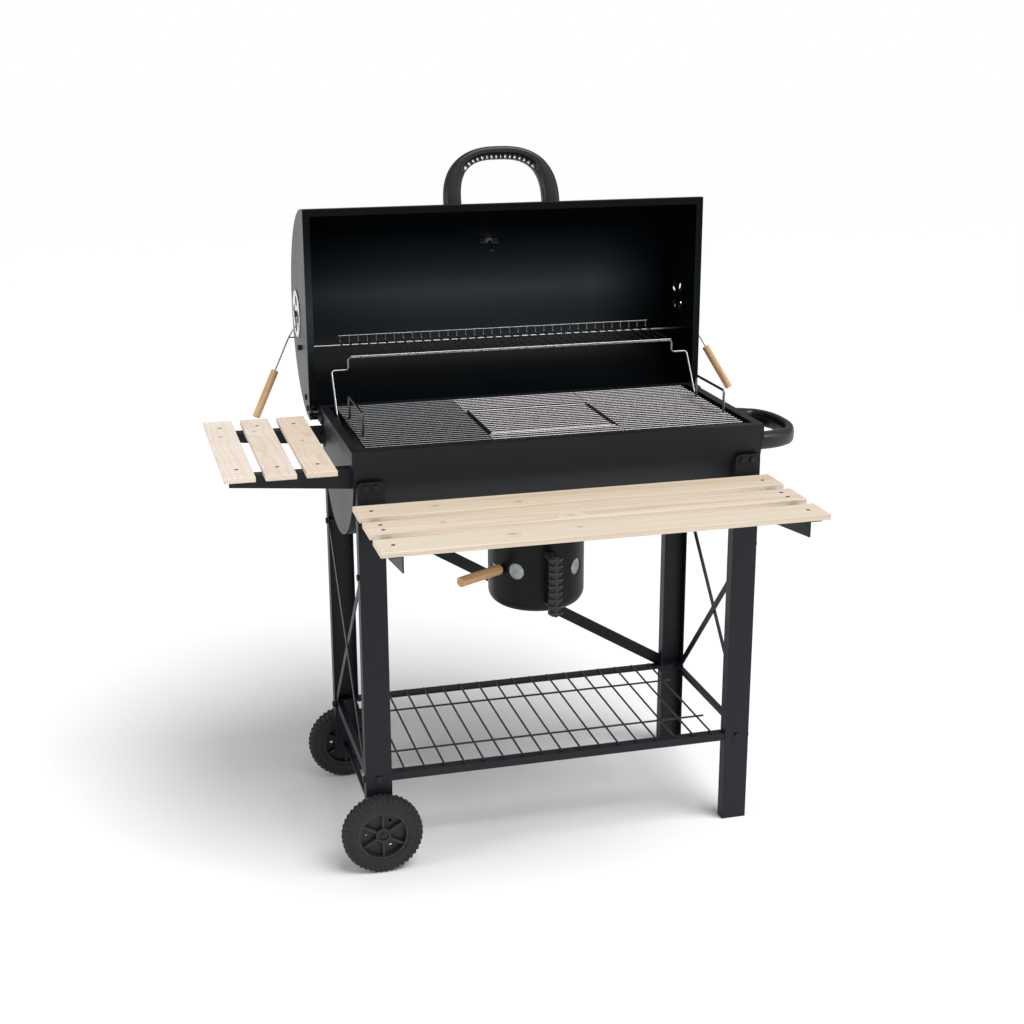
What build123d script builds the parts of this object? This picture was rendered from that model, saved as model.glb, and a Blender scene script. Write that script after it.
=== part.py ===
"""Barrel charcoal grill on a trolley: half-barrel bowl and lid, frame on two wheels, shelves and ash cup.

Built about the bowl's centre on the floor, lid open and resting on its stop, then moved so that the
origin is the bottom centre of the whole object. X runs along the barrel, -Y is the cook's side, +Z is up.
"""
import os
from math import atan2, ceil, cos, degrees, hypot, radians, sin, sqrt

from build123d import *

os.makedirs("parts", exist_ok=True)

# ---- clearances and sheet
SHEET = 1.5          # bowl, lid and leg sheet
RUN = 0.08           # radial running clearance of every pin in its hole
GAP = 0.4            # clearance between parts that pass or lie by each other
PLATE = 2.5          # bracket and brace plate

# ---- bowl
BOWL_L = 790.0
BOWL_R = 191.5
BOWL_WALL = 10.5     # straight wall above the half barrel
RIM_Z = 820.0
RIM_FOLD = 18.0      # inward fold along front and rear
END_FOLD = 17.0      # inward fold along both ends
BAND_H = 32.0        # raised band below the rim of each end
BAND_STEP = 2.5

# ---- lid and hinge
LID_R = BOWL_R + 16.5    # the closed lid stands outside the bowl all round
LID_L = BOWL_L + 2 * 18.0
LID_FOLD = 14.0
LID_DROP = 8.0       # how far the closed lid hangs below the bowl's rim
LID_OPEN = 90.0
HINGE_Y = BOWL_R + 1.25
HINGE_Z = RIM_Z - 15.75
HINGE_PIN_D = 8.0
HINGE_PLATE = 3.0
HANDLE_ANGLE = 15.5  # height of the lid handle above the lid's rim, as an angle on the barrel
THERMO_ANGLE = 55.0

# ---- arch handles
ARCH_W = 242.0
ARCH_H = 116.0
ARCH_FOOT = 37.0
ARCH_TOP = 26.0
ARCH_DEPTH = 34.0
ARCH_FULL = 2.5      # 2 is an ellipse, more is squarer
SIDE_HANDLE_Y = -40.0
SIDE_HANDLE_Z = RIM_Z - 45.0
HANDLE_BOLT_D = 6.0

# ---- thermometer
THERMO_D = 62.0
THERMO_H = 14.0
THERMO_OFF = 2.0     # case back stands off the curved lid
STEM_D = 8.0
STEM_L = 42.0
NUT_W = 14.0

# ---- lid vents
VENT_D = 96.0
VENT_LOW = 16.0      # vent centre below the open lid's barrel centre
VENT_HOLE_D = 22.0
VENT_HOLE_PCD = 54.0
VENT_SHEET = 1.5
VENT_SHUT = 35.0     # how far the disc stands turned from fully open, of the 45 that shut it
VENT_Y = HINGE_Y + LID_R - 68.75     # with the lid open
VENT_Z = HINGE_Z + HINGE_Y - VENT_LOW
VENT_WIRE_D = 3.0
GRIP_D = 15.0
GRIP_TOP = (LID_L / 2 + 54.0, VENT_Y - 35.0, VENT_Z - 108.0)
GRIP_END = (LID_L / 2 + 100.0, VENT_Y - 65.0, VENT_Z - 195.0)
RIVET_D = 6.0

# ---- warming rack and its legs
RACK_WIRE_D = 5.0
RACK_BAR_D = 2.5
RACK_LEG_D = 4.0
RACK_RISE = HINGE_Y - VENT_LOW - VENT_D / 2 - 14.75    # rack pivot above the lid hinge, lid open
RACK_BACK = 101.0    # rack pivot behind the lid hinge, lid open
RACK_DEPTH = 129.0
RACK_HALF = BOWL_L / 2 - 61.0
RACK_PITCH = 19.0
FENCE_H = 14.0
LEG_X = BOWL_L / 2 - 23.5

# ---- cooking grates
GRATE_L = BOWL_L - 2 * 30.5
GRATE_D = 2 * (BOWL_R - 19.5)
GRATE_WIRE_D = 3.2
GRATE_BAR_D = 5.0
GRATE_PITCH = 14.0
MIDDLE_L = 254.0
GRATE_Z = RIM_Z - 2.0      # centre height of the long wires
INSERT_L = MIDDLE_L - 2 * 4.0
INSERT_D = 188.0
INSERT_Y = -28.0
LOOP_H = 46.0
LOOP_D = 5.0
LOOP_SPAN = 146.0
LOOP_Y = -10.0
REST_W = 14.0
COAL_Z = RIM_Z - 120.0
COAL_L = BOWL_L - 2 * 25.0
COAL_BAR_D = 6.0
COAL_PITCH = 24.0

# ---- ash cup
CUP_R = 96.0
CUP_H = 156.0
CUP_TOP_Z = RIM_Z - BOWL_WALL - BOWL_R - 22.0     # below the bowl's lowest line
CUP_BOTTOM_Z = CUP_TOP_Z - CUP_H
CUP_ROUND = 28.0
CUP_HOLE_D = 33.0
CUP_HOLE_Z = CUP_BOTTOM_Z + 87.0
CUP_HOLE_SPLIT = 40.0    # hole pairs stand this far each side of the Y axis
DAMPER_ANGLE = 210.0
DAMPER_SWING = 22.0
DAMPER_ROD_D = 5.0
DAMPER_GRIP_D = 20.0
DAMPER_GRIP_L = 106.0

# ---- legs, wheels and frame
LEG_W = 50.0
LEG_D = 24.0
LEG_INSET = 6.8
LEG_TOP_Z = RIM_Z - 56.0
LEG_PROUD = 3.1      # leg face in front of the bowl's widest line
WHEEL_D = 155.0
WHEEL_W = 33.0
WHEEL_LEG_BOTTOM = 58.0
AXLE_D = 10.0
HUB_R = 50.0
RAIL_TOP_Z = 188.6
RAIL_H = 15.0
RAIL_FLANGE = 20.0
GRID_WIRE_D = 4.0
GRID_PITCH = 39.0
GRID_END = 26.2      # outer grid wire from the leg
BRACE_W = 14.0
BRACE_TOP_Z = LEG_TOP_Z - 182.0
BRACE_LOW_Z = 178.0
REAR_BRACE_W = 24.0
FRAME_BOLT_D = 6.0

# ---- wooden shelves
SLAT_T = 10.0
SHELF_TOP_Z = RIM_Z - 94.0
SHELF_SLAT_W = 73.0
SHELF_PITCH = 100.0
SHELF_L = BOWL_L + 2 * 5.0
SHELF_OFF = 13.0     # rear slat in front of the leg face
TABLE_TOP_Z = RIM_Z - 25.0
TABLE_SLAT_W = 55.0
TABLE_PITCH = 72.0
TABLE_D = 2 * (BOWL_R + 22.0)
TABLE_OFF = 29.0     # inner slat beyond the bowl's end
TABLE_BRACKET_Y = BOWL_R - 23.5
SCREW_D = 4.0

# ---- worked out
BOWL_X = BOWL_L / 2
BARREL_Z = RIM_Z - BOWL_WALL
END_X = BOWL_X - BAND_STEP               # outer face of an end below its band
LID_RIM_Z = RIM_Z - LID_DROP             # closed
LID_X = LID_L / 2
LEG_FACE = BOWL_R + LEG_PROUD
LEG_OUT = BOWL_X - LEG_INSET
LEG_IN = LEG_OUT - LEG_W
LEG_MID = (LEG_OUT + LEG_IN) / 2
GRID_COUNT = int(2 * (LEG_IN - GRID_END) / GRID_PITCH + 0.01) + 1
BOLT_Y = LEG_FACE - LEG_D / 2            # middle of a leg's side flange
LEG_PIVOT_Z = HINGE_Z - GAP
LEG_PIVOT_Y = HINGE_Y - RACK_DEPTH
SIDES = (("left", -1), ("right", 1))

pieces = []


def keep(piece, label):
    """Label a finished sub-part and add it to the model."""
    piece.label = label
    pieces.append(piece)


def lid_frame(x=0.0):
    """Plane across the lid at x: local axes are rearwards and upwards of the closed lid, from the hinge."""
    turn = radians(LID_OPEN)
    return Plane(origin=(x, HINGE_Y, HINGE_Z), x_dir=(0, cos(turn), -sin(turn)), z_dir=(1, 0, 0))


LID_MID = (-HINGE_Y, LID_RIM_Z - HINGE_Z)   # barrel centre of the closed lid, in lid_frame


def lid_spot(x, angle):
    """Plane on the lid's outer surface, its normal outward, angle up from the closed lid's front rim."""
    up = radians(angle)
    there = (LID_MID[0] - LID_R * cos(up), LID_MID[1] + LID_R * sin(up))
    frame = lid_frame(x)
    origin = frame.from_local_coords(Vector(there[0], there[1], 0))
    normal = frame.from_local_coords(Vector(there[0] - cos(up), there[1] + sin(up), 0)) - origin
    return Plane(origin=origin, x_dir=(1, 0, 0), z_dir=normal)


def half_disc(plane, centre, radius, wall, below):
    """Half barrel section on a plane, open below or above its centre line, with a straight wall."""
    side = -1 if below else 1
    with BuildSketch(plane) as section:
        with Locations(centre):
            Circle(radius)
        with Locations((centre[0], centre[1] - side * radius)):
            Rectangle(2 * radius + 2, 2 * radius, mode=Mode.SUBTRACT)
        if wall:
            with Locations((centre[0], centre[1] - side * wall / 2)):
                Rectangle(2 * radius, wall)
    return section.sketch


def drill(origin, direction, diameter, depth):
    """Hole through the sub-part being built, depth long and centred on origin."""
    with BuildSketch(Plane(origin=origin, z_dir=direction)) as hole:
        Circle(diameter / 2)
    extrude(hole.sketch, amount=depth / 2, both=True, mode=Mode.SUBTRACT)


def post(origin, direction, diameter, length):
    """Round bar from origin along direction."""
    with BuildSketch(Plane(origin=origin, z_dir=direction)) as disc:
        Circle(diameter / 2)
    extrude(disc.sketch, amount=length)


def bent_wire(points, diameter, radius):
    """Round wire along straight runs joined by arcs."""
    with BuildLine() as route:
        FilletPolyline(*points, radius=radius)
    start = Vector(points[1]) - Vector(points[0])
    with BuildSketch(Plane(origin=points[0], z_dir=start)) as section:
        Circle(diameter / 2)
    sweep(section.sketch, path=route.line)


def block(low, high, mode=Mode.ADD):
    """Square-cornered bar between two opposite corners."""
    size = [b - a for a, b in zip(low, high)]
    middle = [(a + b) / 2 for a, b in zip(low, high)]
    with Locations(tuple(middle)):
        Box(size[0], size[1], size[2], mode=mode)


def bolt(face, outward, grip, diameter, head_h=3.5):
    """Bolt with its head on face, its shank running inward through grip, and a nut at the far side."""
    out = Vector(outward)
    at = Vector(face)
    post(at, out, 2 * diameter, head_h)
    post(at - out * (grip + 1.2 * diameter), out, diameter, grip + 1.2 * diameter)
    with BuildSketch(Plane(origin=at - out * grip, z_dir=-out)) as nut:
        RegularPolygon(0.95 * diameter, 6)
    extrude(nut.sketch, amount=0.9 * diameter)


def bowl_y(z):
    """Outer half width of the bowl at a height."""
    return BOWL_R if z > BARREL_Z else sqrt(BOWL_R**2 - (BARREL_Z - z) ** 2)


# ==== bowl
LEG_BOLT_Z = LEG_TOP_Z - 11
LEG_BOLT_X = (LEG_MID - 10, LEG_MID + 10)
HANDLE_BOLT_OUT = (ARCH_W - ARCH_FOOT) / 2
REST_TOP_Z = GRATE_Z - GRATE_WIRE_D / 2 - GRATE_BAR_D + 0.8 - 0.2
REST_Z = REST_TOP_Z - SHEET

with BuildPart() as bowl_shell:
    length = 2 * END_X - 2 * SHEET
    extrude(half_disc(Plane.YZ.offset(-length / 2), (0, BARREL_Z), BOWL_R, BOWL_WALL, True), amount=length)
    inner = half_disc(Plane.YZ.offset(-length / 2), (0, BARREL_Z), BOWL_R - SHEET, BOWL_WALL + 1, True)
    extrude(inner, amount=length, mode=Mode.SUBTRACT)
    for side in (-1, 1):
        block((-length / 2, min(side * BOWL_R, side * (BOWL_R - RIM_FOLD)), RIM_Z - SHEET),
              (length / 2, max(side * BOWL_R, side * (BOWL_R - RIM_FOLD)), RIM_Z))
        for lr in (-1, 1):
            for x in LEG_BOLT_X:
                drill((lr * x, side * BOWL_R, LEG_BOLT_Z), (0, 1, 0), FRAME_BOLT_D + 2 * RUN, 60)
    drill((0, 0, BARREL_Z - BOWL_R), (0, 0, 1), 2 * (CUP_R - 22), 80)
keep(bowl_shell.part, "bowl_shell")

RACK_FOOT_HOLE = RACK_LEG_D + 2 * RUN
HINGE_BOLTS = ((HINGE_Y - 42, HINGE_Z - 6), (HINGE_Y - 21, HINGE_Z - 6))
TABLE_BOLT_Z = TABLE_TOP_Z - 29.0
TABLE_BOLT_Y = TABLE_BRACKET_Y - 11
for name, lr in SIDES:
    with BuildPart() as bowl_end:
        face = lr * END_X
        inner_face = face - (SHEET if lr > 0 else 0)
        sheet = half_disc(Plane.YZ.offset(inner_face), (0, BARREL_Z), BOWL_R, BOWL_WALL, True)
        extrude(sheet, amount=SHEET)
        block((min(lr * END_X, lr * BOWL_X), -BOWL_R, RIM_Z - BAND_H),
              (max(lr * END_X, lr * BOWL_X), BOWL_R, RIM_Z))
        band_low = RIM_Z - BAND_H
        inner_x = sorted((lr * (END_X - SHEET), lr * (BOWL_X - SHEET)))
        block((inner_x[0], -BOWL_R + 4, band_low + SHEET), (inner_x[1], BOWL_R - 4, RIM_Z - SHEET),
              mode=Mode.SUBTRACT)
        fold = sorted((lr * (BOWL_X - END_FOLD), lr * BOWL_X))
        block((fold[0], -BOWL_R + RIM_FOLD + GAP, RIM_Z - SHEET), (fold[1], BOWL_R - RIM_FOLD - GAP, RIM_Z))
        out = (lr, 0, 0)
        drill((face, LEG_PIVOT_Y, LEG_PIVOT_Z), out, RACK_FOOT_HOLE, 20)
        for y, z in HINGE_BOLTS:
            drill((face, y, z), out, FRAME_BOLT_D + 2 * RUN, 20)
        if name == "left":
            for y in (-TABLE_BOLT_Y, TABLE_BOLT_Y):
                drill((face, y, TABLE_BOLT_Z), out, FRAME_BOLT_D + 2 * RUN, 20)
        else:
            for side in (-1, 1):
                drill((face, SIDE_HANDLE_Y + side * HANDLE_BOLT_OUT, SIDE_HANDLE_Z), out,
                      HANDLE_BOLT_D + 2 * RUN, 20)
    keep(bowl_end.part, f"bowl_end_{name}")

with BuildPart() as grate_rests:
    rest_x = END_X - SHEET - GAP
    for side in (-1, 1):
        wall = side * (BOWL_R - SHEET - GAP)
        lip = side * (BOWL_R - SHEET - GAP - REST_W - 8)
        block((-rest_x, min(wall, lip), REST_Z), (rest_x, max(wall, lip), REST_TOP_Z))
        foot = side * (BOWL_R - SHEET - GAP - SHEET)
        block((-rest_x, min(wall, foot), REST_Z - 12), (rest_x, max(wall, foot), REST_Z))
    rest_r = BOWL_R - SHEET - GAP / 2
    shell_inside = half_disc(Plane.YZ.offset(-rest_x), (0, BARREL_Z), rest_r, BOWL_WALL, True)
    extrude(shell_inside, amount=2 * rest_x, mode=Mode.INTERSECT)
keep(grate_rests.part, "grate_rests")

# ==== lid
EAR_R = 9.0
LID_BOLTS = ((-4.0, 30.0), (-22.0, 52.0))
PLATE_X = LID_X - SHEET - HINGE_PLATE
NOTCH = 26.0

with BuildPart() as lid_shell:
    length = LID_L - 2 * SHEET
    outer = half_disc(lid_frame(-length / 2), LID_MID, LID_R, 0, False)
    extrude(outer, amount=length)
    with BuildSketch(lid_frame(-length / 2)) as hollow:
        with Locations(LID_MID):
            Circle(LID_R - SHEET)
        with Locations((LID_MID[0], LID_MID[1] - LID_R + SHEET)):
            Rectangle(2 * (LID_R - LID_FOLD), 2 * LID_R, mode=Mode.ADD)
        with Locations((LID_MID[0] - LID_R, LID_MID[1] - LID_R + SHEET)):
            Rectangle(2 * LID_FOLD, 2 * LID_R, mode=Mode.SUBTRACT)
        with Locations((LID_MID[0] + LID_R, LID_MID[1] - LID_R + SHEET)):
            Rectangle(2 * LID_FOLD, 2 * LID_R, mode=Mode.SUBTRACT)
    extrude(hollow.sketch, amount=length, mode=Mode.SUBTRACT)
    for side in (-1, 1):
        spot = lid_spot(side * HANDLE_BOLT_OUT, HANDLE_ANGLE)
        drill(spot.origin, spot.z_dir, HANDLE_BOLT_D + 2 * RUN, 30)
    spot = lid_spot(0, THERMO_ANGLE)
    drill(spot.origin, spot.z_dir, STEM_D + 2 * RUN, 30)
    for lr in (-1, 1):
        with BuildSketch(lid_frame(BOWL_X - 4 if lr > 0 else -LID_X)) as notch:
            with Locations((LID_MID[0] + LID_R - SHEET - 0.4 - LID_FOLD / 2, LID_MID[1])):
                Rectangle(LID_FOLD, 4 * SHEET)
        extrude(notch.sketch, amount=LID_X - BOWL_X + 4, mode=Mode.SUBTRACT)
keep(lid_shell.part, "lid_shell")

# hinge plate outline, in lid_frame: an ear round the hinge and a leg running up inside the lid's end

vent_centre = lid_frame().to_local_coords(Vector(0, VENT_Y, VENT_Z))
rack_hole = lid_frame().to_local_coords(Vector(0, HINGE_Y + RACK_BACK, HINGE_Z + RACK_RISE))


def vent_holes(turn=0.0):
    """Centres of the vent holes round the vent's own centre."""
    radius = VENT_HOLE_PCD / 2
    return [(radius * cos(radians(a + turn)), radius * sin(radians(a + turn))) for a in (45, 135, 225, 315)]


for name, lr in SIDES:
    with BuildPart() as lid_end:
        start = LID_X - SHEET if lr > 0 else -LID_X
        extrude(half_disc(lid_frame(start), LID_MID, LID_R, 0, False), amount=SHEET)
        with BuildSketch(lid_frame(start)) as holes:
            for du, dv in vent_holes():
                with Locations((vent_centre.X + du, vent_centre.Y + dv)):
                    Circle(VENT_HOLE_D / 2)
            with Locations((vent_centre.X, vent_centre.Y)):
                Circle(RIVET_D / 2 + RUN)
            with Locations((rack_hole.X, rack_hole.Y)):
                Circle(RACK_WIRE_D / 2 + RUN)
            for u, v in LID_BOLTS:
                with Locations((u, v)):
                    Circle(FRAME_BOLT_D / 2 + RUN)
        extrude(holes.sketch, amount=SHEET, mode=Mode.SUBTRACT)
        fold_start = LID_X - LID_FOLD if lr > 0 else -LID_X
        with BuildSketch(lid_frame(fold_start)) as fold:
            width = 2 * LID_R - 2 * LID_FOLD - NOTCH
            with Locations((LID_MID[0] - NOTCH / 2 - GAP / 2, LID_MID[1] + SHEET / 2)):
                Rectangle(width - GAP, SHEET)
        extrude(fold.sketch, amount=LID_FOLD)
    keep(lid_end.part, f"lid_end_{name}")

with BuildPart() as lid_hinge_plates:
    for lr in (-1, 1):
        start = PLATE_X if lr > 0 else -PLATE_X - HINGE_PLATE
        with BuildSketch(lid_frame(start)) as plate:
            Circle(EAR_R)
            with BuildLine():
                Polyline((EAR_R, 0), (6, 40), (-12, 64), (-34, 58), (-20, 34), (-EAR_R, 0), close=True)
            make_face()
            Circle(HINGE_PIN_D / 2 + RUN, mode=Mode.SUBTRACT)
            for u, v in LID_BOLTS:
                with Locations((u, v)):
                    Circle(FRAME_BOLT_D / 2 + RUN, mode=Mode.SUBTRACT)
        extrude(plate.sketch, amount=HINGE_PLATE)
keep(lid_hinge_plates.part, "lid_hinge_plates")


def arch_line(half_width, height, fullness):
    """Points of an upright arch standing on the X axis, squarer than an ellipse where fullness is over 2."""
    line = []
    for i in range(19):
        c, v = cos(radians(10 * i)), sin(radians(10 * i))
        x = half_width * abs(c) ** (2 / fullness)
        line.append((x if c > 0 else -x, height * abs(v) ** (2 / fullness)))
    return line[:1] + [p for p in line[1:-1] if p[1] > 1] + [(-half_width, 0)]


def arch(foot, depth):
    """Arch handle standing on foot: feet along the plane's X axis, rising along its normal."""
    upright = Plane(origin=foot.origin, x_dir=foot.x_dir, z_dir=-foot.y_dir)
    outer = arch_line(ARCH_W / 2, ARCH_H, ARCH_FULL)
    inner = arch_line(ARCH_W / 2 - ARCH_FOOT, ARCH_H - ARCH_TOP, ARCH_FULL)
    with BuildSketch(upright) as outline:
        with BuildLine():
            Spline(*outer)
            Line(outer[-1], inner[-1])
            Spline(*inner)
            Line(inner[0], outer[0])
        make_face()
    return extrude(outline.sketch, amount=depth / 2, both=True, mode=Mode.PRIVATE)


HANDLE_BOLT_IN = 22.0
with BuildPart() as lid_handle:
    spot = lid_spot(0, HANDLE_ANGLE)
    add(arch(spot, ARCH_DEPTH))
    for side in (-1, 1):
        at = spot.from_local_coords(Vector(side * HANDLE_BOLT_OUT, 0, 0))
        drill(at, spot.z_dir, HANDLE_BOLT_D + 2 * RUN, 2 * HANDLE_BOLT_IN)
keep(lid_handle.part, "lid_handle")

with BuildPart() as side_handle:
    spot = Plane(origin=(END_X, SIDE_HANDLE_Y, SIDE_HANDLE_Z), x_dir=(0, 1, 0), z_dir=(1, 0, 0))
    add(arch(spot, ARCH_DEPTH))
    for side in (-1, 1):
        at = spot.from_local_coords(Vector(side * HANDLE_BOLT_OUT, 0, 0))
        drill(at, spot.z_dir, HANDLE_BOLT_D + 2 * RUN, 2 * HANDLE_BOLT_IN)
    block((0, -BOWL_R, RIM_Z - BAND_H - GAP), (BOWL_X + GAP, BOWL_R, RIM_Z + 40), mode=Mode.SUBTRACT)
keep(side_handle.part, "side_handle")


def screw_in(inside, inward, reach, diameter):
    """Screw driven from inside a shell outwards: head inside, shank reaching out."""
    back = Vector(inward)
    post(Vector(inside), back, 2 * diameter, 3)
    post(Vector(inside), -back, diameter, reach)


# ==== lid fasteners
with BuildPart() as lid_bolts:
    for side in (-1, 1):
        spot = lid_spot(side * HANDLE_BOLT_OUT, HANDLE_ANGLE)
        screw_in(spot.origin - spot.z_dir * (SHEET + 0.25), -spot.z_dir, HANDLE_BOLT_IN - 2, HANDLE_BOLT_D)
    for name, lr in SIDES:
        for u, v in LID_BOLTS:
            at = lid_frame(lr * LID_X).from_local_coords(Vector(u, v, 0))
            bolt(at, (lr, 0, 0), SHEET + HINGE_PLATE, FRAME_BOLT_D, 3)
        at = Vector(lr * (LID_X - SHEET), VENT_Y, VENT_Z)
        post(at, (-lr, 0, 0), 12, 2.5)
        post(at, (lr, 0, 0), RIVET_D, SHEET + GAP + VENT_SHEET + GAP)
        post(at + Vector(lr * (SHEET + 2 * GAP + VENT_SHEET), 0, 0), (lr, 0, 0), 13, 3)
keep(lid_bolts.part, "lid_bolts")

# ==== thermometer
spot = lid_spot(0, THERMO_ANGLE)
case_plane = Plane(origin=spot.origin + spot.z_dir * THERMO_OFF, x_dir=spot.x_dir, z_dir=spot.z_dir)


def thermo_plane(height):
    """Plane at a height above the back of the thermometer's case."""
    return Plane(origin=case_plane.origin + case_plane.z_dir * height, x_dir=case_plane.x_dir,
                 z_dir=case_plane.z_dir)


with BuildPart() as thermometer_case:
    with BuildSketch(thermo_plane(0)):
        Circle(THERMO_D / 2)
    extrude(amount=THERMO_H)
    with BuildSketch(thermo_plane(2)):
        Circle(THERMO_D / 2 - 2)
    extrude(amount=THERMO_H, mode=Mode.SUBTRACT)
    with BuildSketch(thermo_plane(THERMO_H - 1.2)):
        Circle(THERMO_D / 2 - 1)
        Circle(THERMO_D / 2 - 5, mode=Mode.SUBTRACT)
    extrude(amount=1.2)
    post(case_plane.origin, -case_plane.z_dir, STEM_D, STEM_L)
    post(case_plane.origin, -case_plane.z_dir, 20, THERMO_OFF - 0.3)
keep(thermometer_case.part, "thermometer_case")

with BuildPart() as thermometer_dial:
    with BuildSketch(thermo_plane(2)):
        Circle(THERMO_D / 2 - 2)
    extrude(amount=1)
    post(thermo_plane(3).origin, case_plane.z_dir, 2.4, 4)
keep(thermometer_dial.part, "thermometer_dial")

with BuildPart() as thermometer_needle:
    with BuildSketch(thermo_plane(4.5)):
        Circle(3.2)
        with BuildLine():
            Polyline((-1.4, -8), (1.4, -8), (0.5, 21), (-0.5, 21), close=True)
        make_face()
        Circle(1.2 + RUN, mode=Mode.SUBTRACT)
    extrude(amount=0.8)
keep(thermometer_needle.part, "thermometer_needle")

with BuildPart() as thermometer_glass:
    with BuildSketch(thermo_plane(THERMO_H - 3.4)):
        Circle(THERMO_D / 2 - 2)
    extrude(amount=2.2)
keep(thermometer_glass.part, "thermometer_glass")

with BuildPart() as thermometer_nut:
    inside = spot.origin - spot.z_dir * (SHEET + 0.3)
    with BuildSketch(Plane(origin=inside, x_dir=spot.x_dir, z_dir=-spot.z_dir)) as nut_body:
        Circle(NUT_W / 2)
    extrude(amount=8)
    with BuildSketch(Plane(origin=inside - spot.z_dir * 2, x_dir=spot.x_dir, z_dir=-spot.z_dir)):
        with Locations((-12, 0), (12, 0)):
            Rectangle(14, 3)
    extrude(amount=12)
    with BuildSketch(Plane(origin=inside, x_dir=spot.x_dir, z_dir=-spot.z_dir)):
        Circle(STEM_D / 2)
    extrude(amount=20, mode=Mode.SUBTRACT)
keep(thermometer_nut.part, "thermometer_nut")

# ==== lid vents
VENT_FACE = LID_X + GAP
JOINT_BACK = 74.0    # wire joint above the grip, along the grip's line
for name, lr in SIDES:
    top = Vector(lr * GRIP_TOP[0], GRIP_TOP[1], GRIP_TOP[2])
    end = Vector(lr * GRIP_END[0], GRIP_END[1], GRIP_END[2])
    along = (end - top).normalized()
    joint = top - along * JOINT_BACK
    with BuildPart() as vent_disc:
        with BuildSketch(lid_frame(VENT_FACE if lr > 0 else -VENT_FACE - VENT_SHEET)) as disc:
            with Locations((vent_centre.X, vent_centre.Y)):
                Circle(VENT_D / 2)
            for du, dv in vent_holes(-VENT_SHUT):
                with Locations((vent_centre.X + du, vent_centre.Y + dv)):
                    Circle(VENT_HOLE_D / 2, mode=Mode.SUBTRACT)
            with Locations((vent_centre.X, vent_centre.Y)):
                Circle(RIVET_D / 2 + RUN, mode=Mode.SUBTRACT)
        extrude(disc.sketch, amount=VENT_SHEET)
        wire_x = lr * (VENT_FACE + VENT_SHEET + VENT_WIRE_D / 2 - 0.3)
        bent_wire([(wire_x, VENT_Y + 13, VENT_Z - 5), (wire_x, VENT_Y - 4, VENT_Z - 22),
                   tuple(joint), tuple(top + along * 20)], VENT_WIRE_D, 4)
        post(joint, Vector(wire_x, joint.Y + 2, joint.Z - 1) - joint, VENT_WIRE_D,
             (Vector(wire_x, joint.Y + 2, joint.Z - 1) - joint).length)
    keep(vent_disc.part, f"vent_disc_{name}")
    with BuildPart() as vent_grip:
        post(top, along, GRIP_D, (end - top).length)
        chamfer(vent_grip.edges().filter_by(GeomType.CIRCLE), 1)
        drill(top, along, VENT_WIRE_D + 2 * RUN, 42)
    keep(vent_grip.part, f"vent_grip_{name}")

# ==== warming rack
RACK_Y = HINGE_Y + RACK_BACK
RACK_Z = HINGE_Z + RACK_RISE
FRONT_Y = RACK_Y - RACK_DEPTH
FRONT_Z = RACK_Z - GAP
BAR_Z = RACK_Z + RACK_WIRE_D / 2 + RACK_BAR_D / 2 - 0.4
RACK_END_X = LID_X + 5
FENCE_Y = RACK_Y + 12
BAR_COUNT = ceil(2 * RACK_HALF / RACK_PITCH)
BAR_STEP = (2 * RACK_HALF - 6) / (BAR_COUNT - 1)
with BuildPart() as warming_rack:
    post((-RACK_END_X, RACK_Y, RACK_Z), (1, 0, 0), RACK_WIRE_D, 2 * RACK_END_X)
    for i in range(BAR_COUNT):
        x = -RACK_HALF + 3 + i * BAR_STEP
        bent_wire([(x, FRONT_Y - 6.5, BAR_Z), (x, FENCE_Y, BAR_Z), (x, FENCE_Y, BAR_Z + FENCE_H)],
                  RACK_BAR_D, 5)
    post((-RACK_HALF, FENCE_Y, BAR_Z + FENCE_H), (1, 0, 0), RACK_BAR_D + 0.5, 2 * RACK_HALF)
    post((-RACK_HALF, FRONT_Y - 6.5, BAR_Z), (1, 0, 0), RACK_BAR_D + 0.7, 2 * RACK_HALF)
keep(warming_rack.part, "warming_rack")

with BuildPart() as rack_end_caps:
    for name, lr in SIDES:
        post((lr * (LID_X + GAP), RACK_Y, RACK_Z), (lr, 0, 0), 11, 7)
        with BuildSketch(Plane(origin=(lr * (LID_X + GAP), RACK_Y, RACK_Z), z_dir=(lr, 0, 0))) as bore:
            Circle(RACK_WIRE_D / 2)
        extrude(bore.sketch, amount=RACK_END_X - LID_X - GAP, mode=Mode.SUBTRACT)
keep(rack_end_caps.part, "rack_end_caps")

STEP_X = RACK_HALF + 4
with BuildPart() as rack_legs:
    half = [(0, FRONT_Y, FRONT_Z), (STEP_X, FRONT_Y, FRONT_Z), (STEP_X, FRONT_Y, FRONT_Z - 24),
            (LEG_X, FRONT_Y, FRONT_Z - 24), (LEG_X, FRONT_Y - 54, RIM_Z - 3),
            (LEG_X, LEG_PIVOT_Y, LEG_PIVOT_Z), (BOWL_X + 1, LEG_PIVOT_Y, LEG_PIVOT_Z)]
    for lr in (-1, 1):
        bent_wire([(lr * x, y, z) for x, y, z in half], RACK_LEG_D, 6)
keep(rack_legs.part, "rack_legs")


# ==== cooking grates
def grate_bars(low_x, high_x, depth, centre_y, clear=(0, 0)):
    """Long wires of a grate section, left to right, none of them across the clear span of Y."""
    count = int(depth / GRATE_PITCH) + 1
    step = (depth - GRATE_WIRE_D) / (count - 1)
    rows = [centre_y - (depth - GRATE_WIRE_D) / 2 + i * step for i in range(count)]
    with BuildSketch(Plane.YZ.offset(low_x)) as ends:
        for y in rows:
            if y < clear[0] or y > clear[1] or clear[0] == clear[1]:
                with Locations((y, GRATE_Z)):
                    Circle(GRATE_WIRE_D / 2)
    extrude(ends.sketch, amount=high_x - low_x)


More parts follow.
